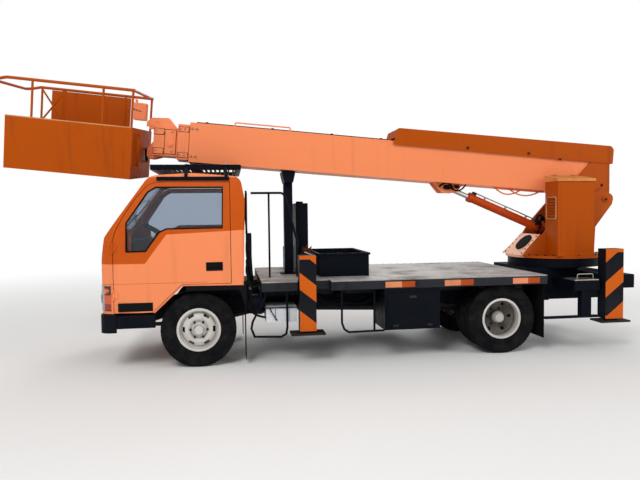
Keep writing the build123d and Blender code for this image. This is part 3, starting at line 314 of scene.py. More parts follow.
def deck_paint():
    """Pale worn plate in long boards, dirty and rusted in patches, with dark edges."""
    look = Finish("deck_plate")
    x, y, z = look.axes()
    grime = look.cloud(0.4, 0.72, 2.2, 6, 0.62)
    scuffs = look.step(look.noise(9, 4, 0.6, look.moved(scale=(0.25, 1, 1))), 0.5, 0.75)
    colour = look.mix(grime, rgb(170, 168, 164), rgb(124, 119, 114))
    colour = look.mix(look.times(scuffs, 0.5), colour, rgb(214, 212, 208))
    colour = look.mix(look.times(look.cloud(0.6, 0.68, 5, 6, 0.7), 0.6), colour, RUST)
    boards = look.math("PINGPONG", look.math("ADD", y, BOARD_WIDTH / 2), BOARD_WIDTH / 2)
    plates = look.math("PINGPONG", look.minus(x, AXLE.x + 1.39), PLATE_LENGTH / 2)
    joint = look.math("MAXIMUM", look.below(boards, 0.0, 0.006), look.below(plates, 0.0, 0.006))
    colour = look.mix(look.times(joint, 0.7), colour, SOOT_AND_SHADE)
    colour = look.mix(look.below(z, DECK_TOP - 0.008, DECK_TOP), colour, BLACK)
    bars = look.add(
        "ShaderNodeTexVoronoi", {"feature": "DISTANCE_TO_EDGE"},
        Vector=look.moved(scale=(1, 1, 0), turn=(0, 0, 0.785)), Scale=34.0, Randomness=0.12,
    ).outputs["Distance"]
    look.set(Base_Color=colour, Roughness=look.step(grime, 0, 1, 0.55, 0.85), Metallic=0.1)
    look.bump(look.step(bars, 0.02, 0.2), 0.25, 0.002)
    return look.material


def striped_paint():
    """Wide slanting bands on the legs' sleeves, mirrored at the rear, with orange at both ends."""
    look = Finish("striped_paint")
    x, y, z = look.axes()
    along = look.minus(x, AXLE.x)
    rear = look.step(along, REAR_LEGS, REAR_LEGS + 0.01)
    slope = look.times(along, look.step(along, REAR_LEGS, REAR_LEGS + 0.01, 0.8, -0.8))
    # Height of a band's edge where X is nothing, for the front sleeves and then for the rear ones
    start = look.math("MULTIPLY_ADD", rear, -4.673, 1.426)
    band = look.math("DIVIDE", look.minus(look.math("ADD", z, slope), start), STRIPE_PITCH)
    black = look.below(look.math("FRACT", band), 0.55, 0.56)
    middle = look.times(look.step(z, 0.4, 0.402), look.below(z, 1.12, 1.122))
    facing = look.add("ShaderNodeNewGeometry").outputs["Normal"]
    sideways = look.add("ShaderNodeSeparateXYZ", Vector=facing).outputs[1]
    shown = look.step(look.size(sideways), 0.5, 0.6)
    paint = look.mix(look.times(black, middle), rgb(208, 94, 12), BLACK)
    outer = look.step(look.size(y), 0.9, 0.901)
    return coat(look, look.mix(look.times(shown, outer), BLACK, paint), 0.1, 0.25, 0.5, 0.0, gloss=0.12)


def wheel_paint():
    """Pale wheels with rust spots; painted shade darkens the sunken rear discs, and dark rings of grime and
    painted shade go round the hub.
    """
    look = Finish("wheel_silver_paint")
    x, y, z = look.axes()
    # Painted shade in the rear discs' sunken middle, darker the deeper it sits, in blotches
    depth = look.step(look.size(y), 0.7, 0.79, 0.97, 0.0)
    rear = look.step(x, AXLE.x + 1.5, AXLE.x + 1.6)
    spots = look.step(look.noise(8, 4, 0.6), 0.35, 0.6, 0.86, 1.0)
    dark = look.times(look.times(depth, rear), spots)
    colour = look.mix(dark, rgb(214, 212, 206), rgb(58, 58, 58))
    hub = look.step(rear, 0.0, 1.0, AXLE.x, BACK_AXLE.x)
    squares = [look.math("POWER", look.minus(*pair), 2.0) for pair in ((x, hub), (z, WHEEL_Z))]
    radius = look.math("SQRT", look.math("ADD", *squares))
    patches = look.step(look.noise(12, 5, 0.7), 0.3, 0.65, 0.15, 0.9)
    # Radius and spread of the dark rings round the hub: painted shade in the hub's seam and at the rim's
    # bead, grime at the nut circle
    for place, spread in ((0.052, 0.012), (0.088, 0.02), (0.178, 0.012)):
        ring = look.below(look.size(look.minus(radius, place)), 0.0, spread)
        colour = look.mix(look.times(ring, patches), colour, rgb(74, 66, 58))
    return coat(look, colour, 0.35, 0.2, 0.5, gloss=0.4)


def lid_paint():
    """Burnt orange with a blotchy painted highlight towards the lid's top."""
    look = Finish("cabinet_lid_paint")
    # Painted highlight: the lid's top is paler, in blotches
    top = look.step(look.axes()[2], 1.9, 1.94)
    pale = look.times(top, look.step(look.noise(5, 4), 0.3, 0.6, 0.4, 0.9))
    return coat(look, look.mix(pale, BURNT, rgb(222, 150, 84)), 0.04, 0.3, 0.3, gloss=0.1)


def tail_lamps():
    """Rear lamps with a clear, a red and an amber part."""
    look = Finish("rear_lamp_lenses")
    across = look.size(look.axes()[1])
    red = look.mix(look.step(across, 0.632, 0.634), rgb(196, 190, 184), rgb(120, 8, 6))
    colour = look.mix(look.step(across, 0.768, 0.77), red, AMBER_TINT)
    seam = look.math("PINGPONG", look.minus(across, 0.633), 0.068)
    return look.fluted(look.mix(look.below(seam, 0.0, 0.003), colour, BLACK), 0.25, 0.2, 1.5708)


def lamp_cluster():
    """Headlamp panel: clear in front, and black over amber and red bands round the corner."""
    look = Finish("front_lamp_cluster")
    _, y, z = look.axes()
    corner = look.step(look.size(y), 0.79, 0.8)
    amber = look.mix(look.step(z, 0.7, 0.705), rgb(150, 30, 14), rgb(206, 84, 24))
    dark = look.math("MAXIMUM", look.step(z, 0.79, 0.795), look.below(z, 0.64, 0.645))
    return look.fluted(look.mix(corner, rgb(150, 152, 150), look.mix(dark, amber, BLACK)), 0.2, 0.4)


def lens(name, colour):
    return Finish(name).fluted(colour, 0.18, 0.6)


def tyre_rubber():
    look = Finish("tyre_rubber")
    dusty = look.cloud(0.35, 0.75, 9, 6, 0.7)
    colour = look.mix(dusty, rgb(10, 12, 17), rgb(36, 34, 32))
    look.set(Base_Color=colour, Roughness=0.85, Specular_IOR_Level=0.1)
    look.bump(look.noise(120, 3), 0.15)
    return look.material


def plain(name, colour, rough, metal=0.0, grain=80):
    """A finish of one colour with slight clouding and a fine grain."""
    look = Finish(name)
    cloud = look.cloud(0.3, 0.75, 4, 5)
    darker = tuple(value * 0.7 for value in colour[:3]) + (1,)
    look.set(Base_Color=look.mix(cloud, darker, colour), Roughness=rough, Metallic=metal)
    look.set(Specular_IOR_Level=0.5 if metal else 0.1)
    look.bump(look.noise(grain, 3), 0.1)
    return look.material


def glass_finish():
    look = Finish("window_glass")
    grime = look.step(look.noise(3, 5, 0.6), 0.4, 0.8, 0.02, 0.14)
    look.set(Base_Color=rgb(194, 202, 212), Roughness=grime, Transmission_Weight=0.95, IOR=1.1)
    return look.material


def chrome_rod():
    look = Finish("chromed_rod")
    marks = look.noise(40, 3, 0.5, look.moved(scale=(0.1, 1, 1)))
    look.set(Base_Color=rgb(205, 205, 205), Metallic=1.0, Roughness=look.step(marks, 0.3, 0.8, 0.12, 0.3))
    return look.material


def seat_cloth():
    look = Finish("seat_cloth")
    weave = look.add(
        "ShaderNodeTexChecker", Vector=look.place, Scale=220.0, Color1=(1, 1, 1, 1), Color2=(0, 0, 0, 1)
    ).outputs[1]
    look.set(Base_Color=look.mix(weave, rgb(62, 58, 54), rgb(82, 78, 72)), Roughness=0.95)
    look.bump(weave, 0.2)
    return look.material


# The finish of each material slot, and of the nodes that have their own.
FINISHES = {
    "orange": painted("boom_orange_paint", SALMON, 0.06, 0.14, 0.2),
    "burnt_orange": painted("burnt_orange_paint", BURNT, 0.04, 0.3, 0.3, 0.0, gloss=0.1),
    "black": painted("chassis_black_paint", BLACK, 0.03, 0.0, 0.12, 0.0, gloss=0.06),
    "cylinder_red": painted("cylinder_red_paint", rgb(192, 66, 8), 0.06, 0.3, 0.3, 0.0, gloss=0.15),
    "light_grey": painted("light_grey_paint", rgb(170, 172, 172), 0.4, 0.25, 0.3),
    "deck_grey": deck_paint(),
    "striped": striped_paint(),
    "wheel_white": wheel_paint(),
    "tyre": tyre_rubber(),
    "glass": glass_finish(),
    "chrome": chrome_rod(),
    "trim_fabric": seat_cloth(),
    "steel": plain("dirty_steel", rgb(48, 44, 40), 0.7, 0.5),
    "rubber": plain("black_rubber", rgb(18, 18, 19), 0.85),
    "plastic": plain("black_plastic", rgb(15, 16, 20), 0.6, grain=160),
    "lamp": lens("clear_lens", rgb(226, 214, 200)),
}
CAB = cab_paint()
OWN_FINISH = {
    "cab_shell": CAB,
    "door_left": CAB,
    "door_right": CAB,
    "boom_base": boom_paint(),
    "turret": turret_paint(),
    "front_lamps": lamp_cluster(),
    "rear_lamps": tail_lamps(),
    "control_box_lid": lid_paint(),
    "battery_box": plain("battery_case", rgb(226, 230, 234), 0.5),
}
AMBER = lens("amber_lens", AMBER_TINT)
BRIGHT = plain("bright_steel", rgb(190, 186, 178), 0.35, 0.9)
# A paler orange for the frame of the cabinet's louvre panel and for the basket's rim
PALE_ORANGE_TRIM = plain("worn_paint_edge", rgb(214, 150, 98), 0.7)
PALE = plain("pale_reflector", rgb(238, 150, 108), 0.5)
DEEP = plain("orange_reflector", rgb(196, 84, 34), 0.5)
# Rust brown for rusty bolt heads and levers, and for the painted shadows round the boom's pad plates
RUST_AND_SHADOW = plain("rusty_heads", rgb(84, 38, 18), 0.8)

for part in frame["record"]["subparts"]:
    node_mesh = nodes[part["node"]].data
    node_mesh.materials.clear()
    node_mesh.materials.append(OWN_FINISH.get(part["node"]) or FINISHES[part["material_slot"]])


# ---- Meshes ----

def mesh_of(work, name):
    """Ends a bmesh as a plain mesh."""
    mesh = bpy.data.meshes.new(name)
    work.to_mesh(mesh)
    work.free()
    return mesh


def linked(name, data):
    """A new object in the scene."""
    made = bpy.data.objects.new(name, data)
    bpy.context.scene.collection.objects.link(made)
    return made


def smooth(mesh):
    for face in mesh.polygons:
        face.use_smooth = True
    return mesh


def piece(name, parts, body, slot, material=None):
    """Joins (mesh, matrix) pairs in a finished piece that rides on a body, with its place in its mesh."""
    work = bmesh.new()
    for mesh, matrix in parts:
        copy = mesh.copy()
        copy.transform(matrix)
        if matrix.determinant() < 0:
            copy.flip_normals()
        work.from_mesh(copy)
        bpy.data.meshes.remove(copy)
    made = linked(name, mesh_of(work, name))
    made.data.materials.append(material or FINISHES[slot])
    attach(made, body)
    return made


def block(corner, opposite, bevel=0.0):
    """A box between two corners, with its edges rounded."""
    work = bmesh.new()
    low, high = (Vector(tuple(map(pick, corner, opposite))) for pick in (min, max))
    matrix = shift((low + high) / 2) @ Matrix.Diagonal((*(high - low), 1))
    bmesh.ops.create_cube(work, size=1, matrix=matrix)
    if bevel:
        bmesh.ops.bevel(work, geom=work.edges[:], offset=bevel, segments=2, profile=0.6, affect="EDGES")
    return mesh_of(work, "block")


def lathe(profile, sides):
    """Turns a closed list of (radius, height) round Z."""
    work = bmesh.new()
    rings = []
    for index in range(sides):
        angle = 2 * math.pi * index / sides
        turn = (math.cos(angle), math.sin(angle))
        rings.append([work.verts.new((r * turn[0], r * turn[1], h)) for r, h in profile])
    for index in range(sides):
        here, following = rings[index], rings[(index + 1) % sides]
        for step in range(len(profile)):
            after = (step + 1) % len(profile)
            work.faces.new((here[step], following[step], following[after], here[after]))
    bmesh.ops.recalc_face_normals(work, faces=work.faces[:])
    return smooth(mesh_of(work, "lathe"))


def tube(points, radius, curved=True):
    """A round bar or pipe that follows points."""
    curve = bpy.data.curves.new("tube", "CURVE")
    curve.dimensions = "3D"
    curve.bevel_depth = radius
    curve.bevel_resolution = max(2, int(radius * 150))
    curve.use_fill_caps = True
    spline = curve.splines.new("NURBS" if curved else "POLY")
    spline.points.add(len(points) - 1)
    for knot, place in zip(spline.points, points):
        knot.co = (*place, 1)
    if curved:
        spline.use_endpoint_u = True
        spline.order_u = 3
    holder = linked("tube", curve)
    mesh = bpy.data.meshes.new_from_object(holder)
    bpy.data.objects.remove(holder)
    bpy.data.curves.remove(curve)
    return smooth(mesh)


def fit(name, body, slot, bevel, boxes, tubes=(), own=None, twin=False):
    """Makes a piece of boxes and tubes, and with twin also the same on the vehicle's other side.

    A box is its low and high X, Y and Z, and a tube is its radius and its points.
    """
    place = BODY_PLACES.get(body, GROUND)
    meshes = [block(row[::2], row[1::2], bevel) for row in boxes]
    meshes += [tube(points, radius, len(points) > 2) for radius, points in tubes]
    parts = [(mesh, place) for mesh in meshes]
    if twin:
        parts += [(mesh, place @ MIRROR) for mesh in meshes]
    piece(name, parts, body, slot, own)


# ---- Geometry node trees ----

class Growth(Tree):
    """A geometry node tree with named inputs that makes one repeated fitting."""

    def __init__(self, name, **sizes):
        super().__init__(bpy.data.node_groups.new(name, "GeometryNodeTree"))
        face = self.tree.interface
        for label, value in sizes.items():
            kind = "NodeSocketInt" if isinstance(value, int) else "NodeSocketFloat"
            face.new_socket(label, in_out="INPUT", socket_type=kind).default_value = value
        face.new_socket("Material", in_out="INPUT", socket_type="NodeSocketMaterial")
        face.new_socket("Geometry", in_out="OUTPUT", socket_type="NodeSocketGeometry")
        self.take = self.tree.nodes.new("NodeGroupInput").outputs

    def vector(self, **parts):
        return self.add("ShaderNodeCombineXYZ", **parts).outputs[0]

    def row(self):
        """Points in a row along X."""
        offset = self.vector(X=self.take["Pitch"])
        return self.add("GeometryNodeMeshLine", Count=self.take["Count"], Offset=offset).outputs[0]

    def bar(self, *sizes):
        x, y, z = (self.take[label] for label in sizes)
        return self.add("GeometryNodeMeshCube", Size=self.vector(X=x, Y=y, Z=z)).outputs[0]

    def close(self, points, fitting, **turn):
        """Ends the tree: the fitting stands on every point, as real geometry with its material."""
        spread = self.add("GeometryNodeInstanceOnPoints", Points=points, Instance=fitting, **turn)
        real = self.add("GeometryNodeRealizeInstances", Geometry=spread.outputs[0])
        material = self.take["Material"]
        done = self.add("GeometryNodeSetMaterial", Geometry=real.outputs[0], Material=material)
        self.add("NodeGroupOutput", Geometry=done.outputs[0])
        return self

    def mesh(self, material, **sizes):
        """The tree's result as a plain mesh."""
        holder = linked("growth", bpy.data.meshes.new("growth"))
        modifier = holder.modifiers.new("growth", "NODES")
        modifier.node_group = self.tree
        values = dict(sizes, Material=material)
        for item in self.tree.interface.items_tree:
            if item.in_out == "INPUT" and item.name in values:
                modifier[item.identifier] = values[item.name]
        graph = bpy.context.evaluated_depsgraph_get()
        made = bpy.data.meshes.new_from_object(holder.evaluated_get(graph), depsgraph=graph)
        bpy.data.objects.remove(holder)
        return made


def bolt_circle_tree():
    """Hexagon heads on a circle round Z."""
    growth = Growth("bolt_circle", Count=12, Circle=0.5, Head=0.01, Height=0.008)
    take = growth.take
    ring = growth.add("GeometryNodeMeshCircle", Vertices=take["Count"], Radius=take["Circle"])
    head = growth.add("GeometryNodeMeshCylinder", Vertices=6, Radius=take["Head"], Depth=take["Height"])
    return growth.close(ring.outputs[0], head.outputs["Mesh"])


def bar_row_tree():
    """Equal bars in a row along X."""
    growth = Growth("bar_row", Count=5, Pitch=0.05, Bar_X=0.01, Bar_Y=0.1, Bar_Z=0.01, Lean=0.0)
    bar = growth.bar("Bar_X", "Bar_Y", "Bar_Z")
    return growth.close(growth.row(), bar, Rotation=growth.vector(Y=growth.take["Lean"]))


def head_row_tree():
    """Round rivet heads in a row along X, standing up Z."""
    growth = Growth("head_row", Count=5, Pitch=0.1, Head=0.008, Height=0.006)
    head, height = growth.take["Head"], growth.take["Height"]
    top = growth.times(head, 0.5)
    cone = growth.add("GeometryNodeMeshCone", Vertices=8, Radius_Bottom=head, Radius_Top=top, Depth=height)
    return growth.close(growth.row(), cone.outputs["Mesh"])


def tread_tree():
    """Tread blocks on a circle round Z, each turned to face outwards."""
    growth = Growth("tread_ring", Count=60, Circle=0.375, Depth=0.016, Along=0.024, Width=0.03)
    take = growth.take
    ring = growth.add("GeometryNodeCurvePrimitiveCircle", Resolution=take["Count"], Radius=take["Circle"])
    points = growth.add("GeometryNodeCurveToPoints", {"mode": "EVALUATED"}, Curve=ring.outputs[0]).outputs
    facing = growth.add("FunctionNodeAlignEulerToVector", {"axis": "X"}, Vector=points["Tangent"])
    return growth.close(points["Points"], growth.bar("Along", "Depth", "Width"), Rotation=facing.outputs[0])


BOLTS = bolt_circle_tree()
BARS = bar_row_tree()
HEADS = head_row_tree()
TREAD = tread_tree()


# ---- Tyres and wheels ----

def radius_of(node):
    low, high = box_of(node)
    return (high.z - low.z) / 2


TYRE_RADIUS = radius_of("front_tyre_left")
TYRE_WIDTH = 0.194
BEAD = radius_of("front_wheel_left") - 0.0158
RIB_PLACES = (0.057, 0.019, -0.019, -0.057)
RIB_HALF = 0.015
# Count, depth into the crown, block's depth, length and width, and height of each ring of tread blocks
TREAD_RINGS = (
    (54, 0.0105, 0.018, 0.029, 0.021, 0.064),
    (60, 0.0078, 0.012, 0.03, 0.026, 0.019),
)
# Wheels, X of the axle, |Y| of the disc's face, circle of the nuts
HUBS = (("front_wheel", AXLE.x, 0.756, 0.088), ("rear_wheels", BACK_AXLE.x, 0.649, 0.098))


def on_axle(x, y, outwards):
    """Height outwards along a wheel's axle, at a place on it."""
    return shift((x, y, WHEEL_Z)) @ turned(-90 * outwards, "X")


def carcass():
    """Closed tyre section: bead, bulging wall with a rim line, shoulder and grooved crown."""
    wall = [
        (BEAD, 0.068), (BEAD + 0.022, 0.072), (BEAD + 0.03, 0.082), (BEAD + 0.055, 0.0935),
        (BEAD + 0.058, 0.0955), (BEAD + 0.064, 0.0955), (BEAD + 0.067, 0.0945),
        (BEAD + 0.1, TYRE_WIDTH / 2), (BEAD + 0.13, 0.092),
        (TYRE_RADIUS - 0.024, 0.084), (TYRE_RADIUS - 0.008, 0.077),
    ]
    crown = []
    top, groove = TYRE_RADIUS - 0.003, TYRE_RADIUS - 0.012
    for place in RIB_PLACES:
        crown += [(top, place + RIB_HALF), (top, place - RIB_HALF)]
        crown += [(groove, place - 0.016), (groove, place - 0.022)]
    return wall + crown[:-2] + [(radius, -height) for radius, height in reversed(wall)]


def tyre_parts(place):
    """Carcass and tread blocks of one tyre."""
    parts = [(lathe(carcass(), 96), place)]
    for count, sunk, depth, along, width, height in TREAD_RINGS:
        ring = TREAD.mesh(
            FINISHES["tyre"], Count=count, Circle=TYRE_RADIUS - sunk, Depth=depth, Along=along, Width=width
        )
        parts += [(ring, place @ shift((0, 0, side))) for side in (-height, height)]
    return parts


def tyres():
    for side, sign in SIDES:
        front = middle_of(f"front_tyre_{side}")
        low, high = box_of(f"rear_tyres_{side}")
        single = tyre_parts(on_axle(front.x, front.y, sign))
        pair = []
        for y in (low.y + TYRE_WIDTH / 2, high.y - TYRE_WIDTH / 2):
            pair += tyre_parts(on_axle(BACK_AXLE.x, y, sign))
        tyre = piece(f"front_road_tyre_{side}", single, f"front_wheel_{side}", "tyre")
        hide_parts(f"front_tyre_{side}")
        twins = piece(f"rear_road_tyres_{side}", pair, f"rear_wheels_{side}", "tyre")
        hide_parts(f"rear_tyres_{side}")


def wheel_nuts():
    """Nuts round each hub, with the studs that stand out of them."""
    for wheel, x, y, circle in HUBS:
        nuts = BOLTS.mesh(FINISHES["steel"], Count=6, Circle=circle, Head=0.0135, Height=0.02)
        studs = BOLTS.mesh(FINISHES["steel"], Count=6, Circle=circle, Head=0.006, Height=0.034)
        for side, sign in SIDES:
            place = on_axle(x, sign * y, sign)
            name = wheel.removesuffix("s") + f"_nuts_{side}"
            piece(name, [(nuts, place), (studs, place)], f"{wheel}_{side}", "steel")


tyres()
wheel_nuts()


# ---- Cab ----

# X and Z of the corners of a side window
WINDOW_LINE = (
    (-0.704, 1.232), (-0.7, 1.522), (-0.484, 1.838), (-0.404, 1.886), (0.272, 1.886),
    (0.262, 1.461), (-0.3, 1.459), (-0.374, 1.425), (-0.515, 1.232),
)
DOOR_FACE = 0.845
DOOR_WAIST = 1.42
DOOR_LEAN = 0.07 / 0.625
BUMPER_FACE = box_of("front_bumper")[0].x - AXLE.x


def on_door(z):
    """|Y| of the door's outer skin at a height."""
    return DOOR_FACE - DOOR_LEAN * max(z - DOOR_WAIST, 0)


def door_trim():
    """A rubber seal round each side window, a recessed pull with its lock, and a dark strip low down."""
    lock = lathe([(0.001, -0.004), (0.011, -0.004), (0.011, 0.006), (0.001, 0.006)], 16)
    for side, sign in SIDES:
        path = [at(x, sign * (on_door(z) - 0.004), z) for x, z in WINDOW_LINE]
        seal = tube(path + path[:2], 0.009, False)
        piece(f"window_seal_{side}", [(seal, STAY)], f"door_{side}", "rubber")
    for side, sign in SIDES:
        place = GROUND if sign < 0 else GROUND @ MIRROR
        parts = [
            (block((0.09, -0.849, 1.018), (0.262, -0.841, 1.108), 0.003), place),
            (block((0.115, -0.866, 1.055), (0.245, -0.848, 1.088), 0.006), place),
            (block((-0.796, -0.849, 0.62), (-0.452, -0.84, 0.708), 0.003), place),
            (lock, place @ shift((0.108, -0.852, 1.035)) @ turned(90, "X")),
        ]
        piece(f"door_handle_{side}", parts, f"door_{side}", "plastic")


def pad(size, crown, pull=0.035):
    """A stuffed pad on its flat underside: crowned, with drawn-in sides and sewn channels across it."""
    work = bmesh.new()
    bmesh.ops.create_cube(work, size=2)
    bmesh.ops.subdivide_edges(work, edges=work.edges[:], cuts=20, use_grid_fill=True)
    for corner in work.verts:
        u, v, w = corner.co
        dome = (1 - u ** 4) * (1 - v ** 4)
        rise = w
        if w > 0:
            rise *= 1 - crown + crown * dome
            for channel in (-0.5, 0.0, 0.5):
                rise -= 0.16 * dome ** 0.5 * math.exp(-(((u - channel) / 0.06) ** 2)) * w
        welt = 1 + 0.012 * math.exp(-(((w - 0.45) / 0.12) ** 2))
        u, v = u * welt * (1 - pull * (1 - v * v)), v * welt * (1 - pull * (1 - u * u))
        corner.co = (u * size[0] / 2, v * size[1] / 2, (rise + 1) * size[2] / 2)
    bmesh.ops.recalc_face_normals(work, faces=work.faces)
    return smooth(mesh_of(work, "pad"))


def seat_pads():
    """A cushion and a leaning back for the driver and for the bench."""
    floor_z = box_of("seats")[0].z + 0.002
    lean = shift(at(0.37, 0, 1.14)) @ turned(-82, "Y")
    for side, y0, y1 in (("bench", -0.735, 0.145), ("driver", 0.225, 0.735)):
        width, middle = y1 - y0, (y0 + y1) / 2
        pads = (
            ("cushion", (0.46, width, 1.145 - floor_z), 0.22, shift(at(0.108, middle, floor_z))),
            ("back", (0.5, width, 0.068), 0.35, lean @ shift((0.255, middle, 0.004))),
        )
        for kind, size, crown, place in pads:
            parts = [(pad(size, crown), place)]
            made = piece(f"{side}_seat_{kind}", parts, "chassis", "trim_fabric")
            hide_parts("seats")


def wipers():
    """Two arms with blades that lie on the windscreen."""
    foot, head = at(-0.925, 0, 1.377), at(-0.47, 0, 2.009)
    slope = (head - foot).normalized()
    outwards = Vector((-slope.z, 0, slope.x))
    reach = Vector((0, 0.2, 0)) + slope * 0.17
    parts = []
    for y in (-0.42, 0.18):
        start = foot + slope * 0.05 + outwards * 0.012 + Vector((0, y, 0))
        tip = start + slope * 0.26 + Vector((0, 0.33, 0))
        parts.append((tube([start, (start + tip) / 2 + outwards * 0.012, tip], 0.006), STAY))
        blade = tip + outwards * 0.002
        parts.append((tube([blade - reach, blade + reach], 0.006, False), STAY))
    piece("wipers", parts, "chassis", "plastic")


door_trim()
seat_pads()
wipers()
fit("front_number_plate", "chassis", "light_grey", 0.003,
    [(BUMPER_FACE - 0.001, BUMPER_FACE + 0.012, -0.22, 0.22, 0.44, 0.55)])


# ---- Deck and chassis fittings ----

DECK_EDGE = box_of("deck")[1].y
# First and last X of each reflector
MARKERS = ((1.977, 2.305), (2.64, 2.97), (3.43, 3.75))


def side_markers():
    """Reflectors along both deck edges, each with a pale and a deep part."""
    for kind, start, end, own in (("pale", 0.0, 0.56, PALE), ("deep", 0.57, 1.0, DEEP)):
        across = (DECK_EDGE - 0.001, DECK_EDGE + 0.006)
        boxes = [
            (x0 + (x1 - x0) * start, x0 + (x1 - x0) * end, *across, 0.797, 0.86) for x0, x1 in MARKERS
        ]
        fit(f"side_markers_{kind}", "chassis", "lamp", 0.002, boxes, own=own, twin=True)


def deck_rivets():
    """Rivet heads along the deck's edges."""
    row = HEADS.mesh(BRIGHT, Count=24, Pitch=0.1, Head=0.007, Height=0.005)
    parts = [(row, shift(at(1.44, sign * (DECK_EDGE - 0.02), 0.887))) for _, sign in SIDES]
    piece("deck_rivets", parts, "chassis", "deck_grey", BRIGHT)


def locker_doors():
    """A framed lid, a catch and two hinges on each locker's outer face."""
    low, high = box_of("side_lockers")
    x0, x1, face = low.x - AXLE.x, high.x - AXLE.x, high.y
    lid = (x0 + 0.03, x1 - 0.03, face, face + 0.008, low.z + 0.03, high.z - 0.05)
    # X of the middle, half the length, low and high Z
    rows = [((x0 + x1) / 2, 0.04, high.z - 0.11, high.z - 0.08)]
    rows += [(x, 0.03, low.z + 0.035, low.z + 0.06) for x in (x0 + 0.12, x1 - 0.12)]
    catches = [(x - half, x + half, face + 0.006, face + 0.018, z0, z1) for x, half, z0, z1 in rows]
    fit("locker_doors", "chassis", "black", 0.003, [lid], twin=True)
    fit("locker_catches", "chassis", "steel", 0.004, catches, twin=True)


side_markers()
deck_rivets()
locker_doors()


# ---- Turntable, turret and boom fittings ----

# Body, level X of the row's start, half width, heights, count and pitch of the wear pads' bolts
BOOM_ROWS = (
    ("boom", -5.09, 0.19, (0.12, 0.43), 2, 0.05),
    ("boom_middle", -5.22, 0.178, (0.13, 0.42), 2, 0.05),
    ("boom_tip", -5.49, 0.138, (0.16, 0.38), 3, 0.09),
)
# Y and Z of the pipe in the barrel's frame
PIPE_LINE = ((-0.06, 0.14), (-0.075, 0.16), (-0.08, 0.22), (-0.08, 1.0), (-0.078, 1.05), (-0.055, 1.08))


def turret_bolts():
    """Bolts on top of the slewing flange, and down both sides of the sloping plate."""
    centre = at(4.45, 0, box_of("turret")[0].z + 0.036)
    ring = BOLTS.mesh(FINISHES["steel"], Count=36, Circle=0.55, Head=0.014, Height=0.013)
    piece("flange_bolts", [(ring, shift(centre))], "turret", "steel")
    foot = Vector((3.895, 0, 1.06))
    rise = (Vector((4.145, 0, 1.305)) - foot).normalized()
    across = Vector((0, 1, 0))
    slope = Matrix((rise, across, rise.cross(across))).transposed().to_4x4()
    row = HEADS.mesh(FINISHES["steel"], Count=5, Pitch=0.07, Head=0.011, Height=0.012)
    plate = GROUND @ shift(foot) @ slope
    parts = [(row, plate @ shift((0.02, y, 0.006))) for y in (-0.21, 0.21)]
    piece("front_plate_bolts", parts, "turret", "steel")


def control_box_trim():
    """A rounded louvre panel on the cabinet's front, and a plain door on its side."""
    low, high = box_of("control_box")
    front, side, middle = low.x, low.y, (low.y + high.y) / 2
    corners = [(-0.105, 1.5), (-0.105, 1.76), (0.105, 1.76), (0.105, 1.5)]
    path = []
    for (y, z), (y1, z1) in zip(corners, corners[1:] + corners[:1]):
        path += [(front - 0.003, middle + y + (y1 - y) * t, z + (z1 - z) * t) for t in (0.0, 0.12, 0.88)]
    edge = tube(path + path[:2], 0.009)
    piece("control_box_panel_frame", [(edge, STAY)], "turret", "burnt_orange", PALE_ORANGE_TRIM)
    slats = BARS.mesh(
        FINISHES["burnt_orange"], Count=7, Pitch=0.034, Bar_X=0.004, Bar_Y=0.17, Bar_Z=0.026, Lean=0.6
    )
    upright = shift((front - 0.006, middle, 1.53)) @ turned(-90, "Y")
    door = block((front + 0.04, side - 0.003, 1.12), (high.x - 0.04, side + 0.001, 1.9), 0.001)
    piece("control_box_panels", [(door, STAY), (slats, upright)], "turret", "burnt_orange")


def boom_rows():
    """Adjuster bolts of the wear pads at the mouth of each section."""
    for body, x, half, heights, count, pitch in BOOM_ROWS:
        row = HEADS.mesh(BRIGHT, Count=count, Pitch=pitch, Head=0.013, Height=0.014)
        parts = [
            (row, BOOM @ shift((x, sign * (half + 0.005), z)) @ turned(-90 * sign, "X"))
            for z in heights for _, sign in SIDES
        ]
        piece(f"{body}_pad_bolts", parts, body, "steel", BRIGHT)


def lift_cylinder_pipe():
    """A hard pipe along the barrel with its clips."""
    parts = [(tube([BARREL @ Vector((0, y, z)) for y, z in PIPE_LINE], 0.008), STAY)]
    for height in (0.3, 0.6, 0.9):
        parts.append((block((-0.014, -0.055, height), (0.014, -0.08, height + 0.02), 0.003), BARREL))
    piece("lift_cylinder_pipe", parts, "cylinder_barrel", "chrome", BRIGHT)


turret_bolts()
control_box_trim()
boom_rows()
lift_cylinder_pipe()


# ---- Tables of small fittings ----

SHADOW_RIM = 0.006
TIP_PLATES = ((-5.51, -5.405, 0.345, 0.405), (-5.51, -5.405, 0.125, 0.185), (-5.39, -5.27, 0.13, 0.4))
MIDDLE_PLATES = ((-5.235, -5.13, 0.39, 0.44), (-5.235, -5.13, 0.1, 0.15))


def shadows(plates, outer, inner):
    """A thin dark rim of painted shadow that shows round each plate, given as its low and high X and Z."""
    return [
        (x0 - SHADOW_RIM, x1 + SHADOW_RIM, outer, inner, z0 - SHADOW_RIM, z1 + SHADOW_RIM)
        for x0, x1, z0, z1 in plates
    ]


def loop(x0, x1, y, z0, z1):
    """A wire handle that stands on a face."""
    return [(x0, y, z0), (x0, y, z1), (x0 + 0.03, y, z1), (x1 - 0.03, y, z1), (x1, y, z1), (x1, y, z0)]


